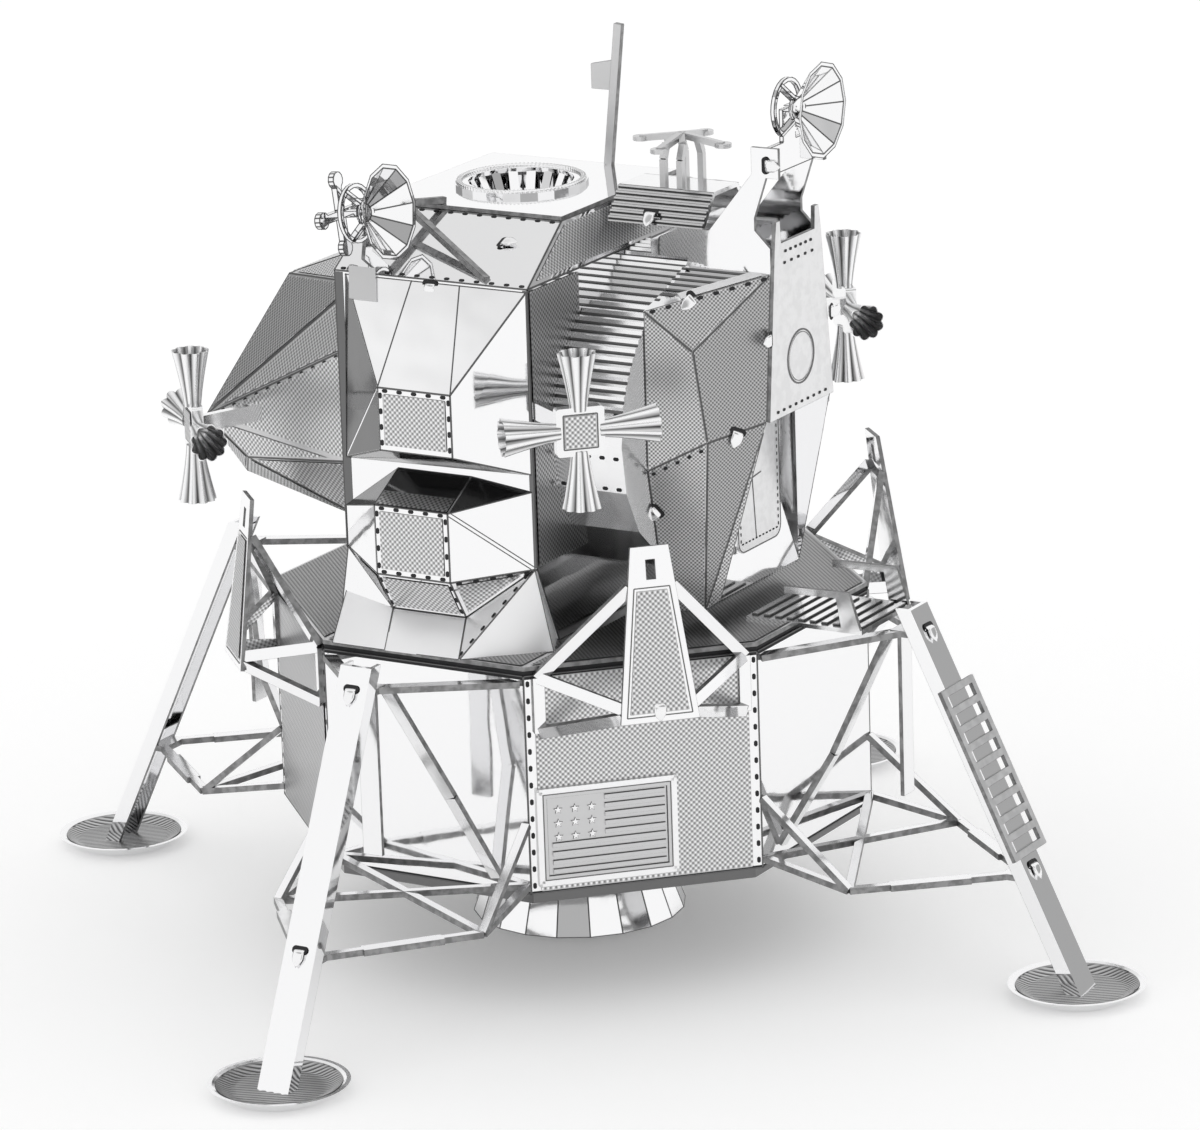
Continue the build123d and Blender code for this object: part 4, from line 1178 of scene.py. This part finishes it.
# The dashes run down one side, along the foot and up the other side.
bends = [(-1, 1), (-1, -1), (1, -1), (1, 1)]
bends = [middle + np.array([a * (HATCH_HALF - DASH_IN), 0, b * (tall - DASH_END)]) for a, b in bends]
rows = [ovals(p, q, ahead, 0.26, 0.13, 0.5, ON_HATCH) for p, q in zip(bends, bends[1:])]
piece("hatch_dashes", rows, SLOT)

# %% [markdown]
# ## Skirt of the lower tank covers
# Under each lower tank cover a skirt of flat panels flares out to the deck. Its upper corners are
# the cover's own, and its foot reaches a little past the edge of the deck. The rear corner is
# lowered onto the plane of the middle panel, so that the panel beside it stays flat.

# %% Flared skirts
SKIRT_REACH = 20.5
SKIRT_BACK = 13.4
# Foot of the skirt from the rear round the outside to the front, and its two hidden corners
SKIRT_FOOT = [
    (SKIRT_REACH, 7.2), (SKIRT_REACH, 2.8), (SKIRT_REACH - 0.1, -3.2), (16.0, -8.3),
    (SKIRT_BACK, -7.0), (SKIRT_BACK, 8.4),
]
SKIRT_FACES = [
    (0, 1, 5, 4), (1, 2, 6, 5), (2, 3, 6), (3, 7, 6), (4, 5, 6, 7, 8, 9), (3, 8, 7), (0, 4, 9),
    (0, 9, 8, 3), (0, 3, 2, 1),
]
SKIRT_SHOWN = 4
SKIRT_CORE = (16.8, 1.0, 1.2)
for s, side in ((-1, "right"), (1, "left")):
    lower = f"bulge_lower_{side}"
    strip = by_height(facet(lower, (0.84 * s, 0, -0.54))[0])[:2]
    front_knee, rear_knee = strip[np.argsort(strip[:, 1])]
    front_top = by_height(facet(lower, (0.71 * s, -0.62, -0.32))[0])[-1]
    rear_top = by_height(facet(lower, (0.69 * s, 0.58, -0.44))[0])
    rear_top = rear_top[np.argmax(rear_top[:, 1])].copy()
    fall = (rear_knee[2] - deck_top) / (SKIRT_REACH - abs(rear_knee[0]))
    rear_top[2] = rear_knee[2] + fall * (abs(rear_knee[0]) - abs(rear_top[0]))
    ground = [(s * x, y, deck_top) for x, y in SKIRT_FOOT]
    points = np.array([rear_top, rear_knee, front_knee, front_top] + ground)
    core = np.array([s, 1.0, 1.0]) * SKIRT_CORE + np.array([0.0, 0.0, deck_top])
    piece(f"skirt_{side}", [flat_body(points, SKIRT_FACES, [core] * len(SKIRT_FACES))], PALE)
    edges = []
    for face in SKIRT_FACES[:SKIRT_SHOWN]:
        n = ring_normal(points[list(face)], core)
        ring = inset(outline(points[list(face)], n), n, 0.03)
        edges.append(strokes(looped(ring), n, 0.06, 0.02))
    piece(f"skirt_lines_{side}", edges, LINE_AND_CREASE_SHADE)
    n = ring_normal(points[[2, 3, 6]], core)
    aside = unit(points[2] - (points[3] + points[6]) / 2) * 0.32
    piece(f"skirt_slots_{side}", [ovals(points[3] + aside, points[6] + aside, n)], SLOT)

# %% [markdown]
# ## Thrusters
# Four thin framed plates each carry four small bells, rolled from fluted sheet: a narrow neck, a
# flare like a trumpet and a wavy mouth. The solids have a box and wider, straight fluted cones, so
# these finer pieces stand for them, at the solids' own places. A bell is one grid, rolled round
# its axis; a lathe and a wave modifier could make it too, but a formula keeps the creases sharp.

# %% A fluted bell
BELL_LONG = 4.05
BELL_NECK = 0.58
BELL_MOUTH = 1.24
BELL_WALL = 0.07
BELL_FLOOR = 0.08
FLUTES = 9


def fluted_bell(base, axis, side):
    """Trumpet with flutes, as one closed wall.

    At share t of the length the radius is neck + (mouth - neck) * t to the power 1.25, times one
    plus FLUTES round waves with sharp creases between them, deeper with t. The wall goes out
    along the outside, turns at the mouth, comes back inside, and both ends close on the axis.
    """
    t = np.concatenate([[0.0], np.linspace(0, 1, 13), np.linspace(1, BELL_FLOOR, 12), [BELL_FLOOR]])
    t = t[:, None]
    wall = np.concatenate([[0.0], np.zeros(13), np.full(12, BELL_WALL), [0.0]])[:, None]
    closed = np.concatenate([[0.0], np.ones(25), [0.0]])[:, None]
    turn = np.arange(73)[None] * 2 * np.pi / 72
    radius = BELL_NECK + (BELL_MOUTH - BELL_NECK) * t**1.25
    swell = 2 * np.abs(np.sin(FLUTES / 2 * turn)) - 1
    wave = 1 + (0.04 + 0.07 * t) * swell
    radius = closed * (radius * wave - wall)
    u = unit(side)
    v = np.cross(axis, u)
    along = BELL_LONG * t + 0 * turn
    place = base + along[..., None] * axis + (radius * np.cos(turn))[..., None] * u
    place = place + (radius * np.sin(turn))[..., None] * v
    return weld(grid_part(place[:, ::-1], (swell + 0 * t)[:, ::-1]))


# %% [markdown]
# The place and the direction of each plate are those of its solid's outer box face, and an arm runs
# back to the solid's inner end, where it meets the ascent stage.

# %% Thruster plates with their bells
up = np.array([0.0, 0.0, 1.0])
PLATE_THICK, PLATE_ROUND = 0.8, 0.25
QUAD_FRAME, QUAD_BACK = 0.5, 0.5
ARM_HALF, ARM_TALL = 0.3, 1.2
BELL_SUNK = 0.3
for node in [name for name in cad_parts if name.startswith("rcs_quad")]:
    boxes = [face for face in flat_faces(node) if abs(face.n[2]) < 0.01 and face.area > 4]
    boxes = [face for face in boxes if reach(face) < 4]
    face = max(boxes, key=lambda face: face.n @ face.corners.mean(0))
    n, side = face.n, np.cross(up, face.n)
    half = np.abs((face.corners - face.corners.mean(0)) @ side).max() + QUAD_FRAME
    centre = face.corners.mean(0) - QUAD_BACK * n
    ring = rounded(centre - PLATE_THICK * n, n, half, half, PLATE_ROUND)
    parts = [plate_part(ring, n, PLATE_THICK)]
    spots = triangles(node).reshape(-1, 3)
    deep = (centre - spots) @ n
    end = spots[deep > deep.max() - 0.5].mean(0)
    flank = ARM_HALF * unit(np.cross(up, unit(end - centre)))
    start = centre - QUAD_BACK * n
    arm = np.array([start + flank, start - flank, end - flank, end + flank])
    parts.append(plate_part(arm - ARM_TALL / 2 * up, up, ARM_TALL))
    made = piece(f"{node}_plate", parts, BRIGHT)
    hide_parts(node)
    field = centre + np.array([(half - QUAD_FRAME) * (a * side + b * up) for a, b in SQUARE])
    piece(f"{node}_frame", [strokes(looped(field), n, 0.09)], LINE_AND_CREASE_SHADE)
    dimpled_piece(f"{node}_faces", [dimples(field, n, 0.08)])
    bells = []
    for axis in (up, -up, side, -side):
        base = centre - PLATE_THICK / 2 * n + (half - BELL_SUNK) * axis
        bells.append(fluted_bell(base, axis, n))
    piece(f"{node}_bells", bells, FLUTED)

# %% [markdown]
# ## Footpads
# Each pad is a shallow dish with fine parallel lines etched over its inside, up to a smooth rim.
# The lines are ridges of a height field over the dish.

# %% Etched lines in the pads
PAD_LINES = 4.35
PAD_RIM = 0.3
PAD_TURN = 0.6
RIDGE, RIDGE_TALL, ON_PAD = 0.34, 0.035, 0.04


def pad_lines(centre, sole, rim, tall, turn):
    """Ridges over a dish: height is the dish's own profile plus a cosine across the lines.

    Grid points outside the circle PAD_LINES move onto it along their own radius.
    """
    count = int(2 * PAD_LINES / RIDGE * 4)
    a, b = np.meshgrid(np.linspace(-1, 1, count), np.linspace(-1, 1, 25), indexing="ij")
    a, b = a * PAD_LINES, b * PAD_LINES
    r = np.hypot(a, b)
    shrink = np.minimum(1.0, PAD_LINES / np.maximum(r, 1e-6))
    a, b, r = a * shrink, b * shrink, np.minimum(r, PAD_LINES)
    crest = np.cos(2 * np.pi * a / RIDGE) * np.clip((PAD_LINES - r) * 4, 0, 1)
    dish = np.clip((r - sole) / (rim - sole), 0, 1) * tall
    x = a * np.cos(turn) - b * np.sin(turn)
    y = a * np.sin(turn) + b * np.cos(turn)
    return grid_part(centre + np.stack([x, y, ON_PAD + dish + RIDGE_TALL * crest], -1), crest)


for name in ("front", "right", "rear", "left"):
    low, high = (np.array(c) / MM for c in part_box(f"footpad_{name}"))
    sole = facet(f"footpad_{name}", (0, 0, 1))[0]
    top = sole[0, 2]
    centre = np.array([(low[0] + high[0]) / 2, (low[1] + high[1]) / 2, top])
    sole_radius = np.linalg.norm(sole[:, :2] - centre[:2], axis=1).max()
    field = pad_lines(centre, sole_radius, (high[0] - low[0]) / 2 - PAD_RIM, high[2] - top, PAD_TURN)
    # The darker dimples paint shade in the pads' dishes.
    dimpled_piece(f"pad_lines_{name}", [field], DIMPLED_SHADE)

# %% [markdown]
# ## Bent tabs
# Tabs on one sheet pass through slots in the next and are bent over. Each shows as a bright
# hook in a dark slot. A bent card would do from afar; a flattened tube also has a round edge that
# catches the light.

# %% A tab and its slot


def tab(at, along, n, long=1.25, wide=0.85, thick=0.22):
    """Flattened tube on a bent path.

    The path rises out of the slot through a quarter turn and then lies along the sheet. The
    section is a rounded rectangle; its width falls off like a half circle at the tip, and both
    ends close in a point.
    """
    n = unit(n)
    along = unit(np.asarray(along, float) - n * (np.asarray(along, float) @ n))
    across = np.cross(n, along)
    s = np.array([0.0, 0.0, 0.3, 0.6, 0.85, 1.0])[:, None] * np.pi / 2
    bend = 0.28
    rise = np.concatenate([bend * (np.sin(s) - 0.6), np.full((6, 1), bend * 0.4)])
    straight = bend + np.linspace(0.15, 1.0, 6)[:, None] * (long - bend)
    run = np.concatenate([bend * (1 - np.cos(s)), straight])
    tip = np.sqrt(1 - np.array([0.45, 0.75, 0.95, 1.0]) ** 2)
    half = np.concatenate([[0.0, 1.0], np.ones(6), tip])[:, None]
    turn = np.arange(13) * 2 * np.pi / 12
    round_x = np.sign(np.cos(turn)) * np.abs(np.cos(turn)) ** 0.5
    round_y = np.sign(np.sin(turn)) * np.abs(np.sin(turn)) ** 0.5
    tangent = np.concatenate([s, np.full((6, 1), np.pi / 2)])
    out = np.cos(tangent)[..., None] * -along + np.sin(tangent)[..., None] * n
    middle = np.asarray(at, float) + run[..., None] * along + rise[..., None] * n
    place = middle + (half * round_x * wide / 2)[..., None] * across
    place = place + (np.minimum(half, 1) * round_y * thick / 2)[..., None] * out
    return weld(grid_part(place[:, ::-1]))


def slot_patch(at, along, n, long=1.25, wide=0.6):
    """Dark rounded opening, lying across the tab that comes through it."""
    across = unit(np.cross(n, along)) * long / 2
    return ovals(np.asarray(at) - across, np.asarray(at) + across, unit(n), long, wide, 10.0, 0.09)


# %% [markdown]
# The tabs of the right side are listed and, apart from the last, repeated on the left; those of the
# legs are worked out on the front leg's face and turned round the model in quarter turns.

# %% Tabs in their slots
# One row per tab: place of its slot, direction it is bent to, direction its sheet looks
TABS = [
    ((-16.0, 0.6, 51.1), (0, 0, -1), (-1, 0, 0)),
    ((-7.3, -15.3, 49.6), (-0.6, 0.5, -0.6), (-0.73, -0.61, 0.31)),
    ((-4.45, -19.66, 46.4), (-1, 0, 0), (0, -1, 0)),
    ((-6.39, -18.02, 40.1), (-0.3, 0.25, -0.9), (-0.62, -0.78, 0.07)),
    ((-9.2, -13.0, 34.6), (-0.5, 0.5, -0.6), (-0.87, -0.47, -0.16)),
    ((-3.5, -19.2, 58.5), (0, -1, 0), (-1, 0, 0)),
    ((-3.2, -9.8, 54.3), (-0.62, 0, -0.79), (-0.79, 0, 0.62)),
    ((-11.25, -2.48, 53.24), (0, -1, 0), (-0.36, 0, 0.93)),
    ((-17.45, -17.45, 23.4), (0, 0, -1), (-0.70, -0.70, 0.13)),
]
spots = TABS + [((-x, y, z), (-a, b, c), (-i, j, k)) for (x, y, z), (a, b, c), (i, j, k) in TABS[:-1]]
LOW_TAB = 9.2
QUARTER_TURNS = (0, -1, 2, 1)
leg, leg_face = facet("leg_front", (0, -1, 0.48))
leg = by_height(leg) * (0, 1, 1)
leg_down = leg[0] - leg[-1]
for turn in QUARTER_TURNS:
    c, s = np.cos(turn * np.pi / 2), np.sin(turn * np.pi / 2)
    spin = np.array([[c, -s, 0], [s, c, 0], [0, 0, 1]])
    for z in (deck_top, LOW_TAB):
        at = leg[0] + leg_down * (z - leg[0, 2]) / leg_down[2]
        spots.append((spin @ at, spin @ leg_down, spin @ leg_face))
piece("tab_slots", [slot_patch(at, along, n) for at, along, n in spots], SLOT)
hooks = [tab(np.asarray(at) + 0.08 * unit(n), along, n) for at, along, n in spots]
piece("tabs", hooks, BRIGHT, smooth=True)

# %% [markdown]
# ## Rope rim
# The docking port has a rim like a twisted rope. Twisting real strands would take many more faces,
# so it is one ring-shaped tube whose oval section turns as it goes round.

# %% Rope rim of the docking port
ROPE_THICK, ROPE_IN = 0.2, 0.35
ROPE_TWIST, ROPE_STEPS = 96, 384


def rope(centre, radius, thick, strands, count):
    """Tube round a circle; its radius swings with the angle round the section plus the twist."""
    around = np.arange(count + 1) * 2 * np.pi / count
    section = np.arange(9) * 2 * np.pi / 8
    around, section = np.meshgrid(around, section, indexing="ij")
    swell = thick * (1 + 0.22 * np.cos(2 * section + strands * around))
    reach = radius + swell * np.cos(section)
    place = np.stack([reach * np.cos(around), reach * np.sin(around), swell * np.sin(section)], -1)
    return weld(grid_part(centre + place))


low, high = (np.array(c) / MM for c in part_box("docking_ring"))
port = np.array([(low[0] + high[0]) / 2, (low[1] + high[1]) / 2, high[2]])
rim = rope(port, (high[0] - low[0]) / 2 - ROPE_IN, ROPE_THICK, ROPE_TWIST, ROPE_STEPS)
piece("port_rope", [rim], BRIGHT, smooth=True)
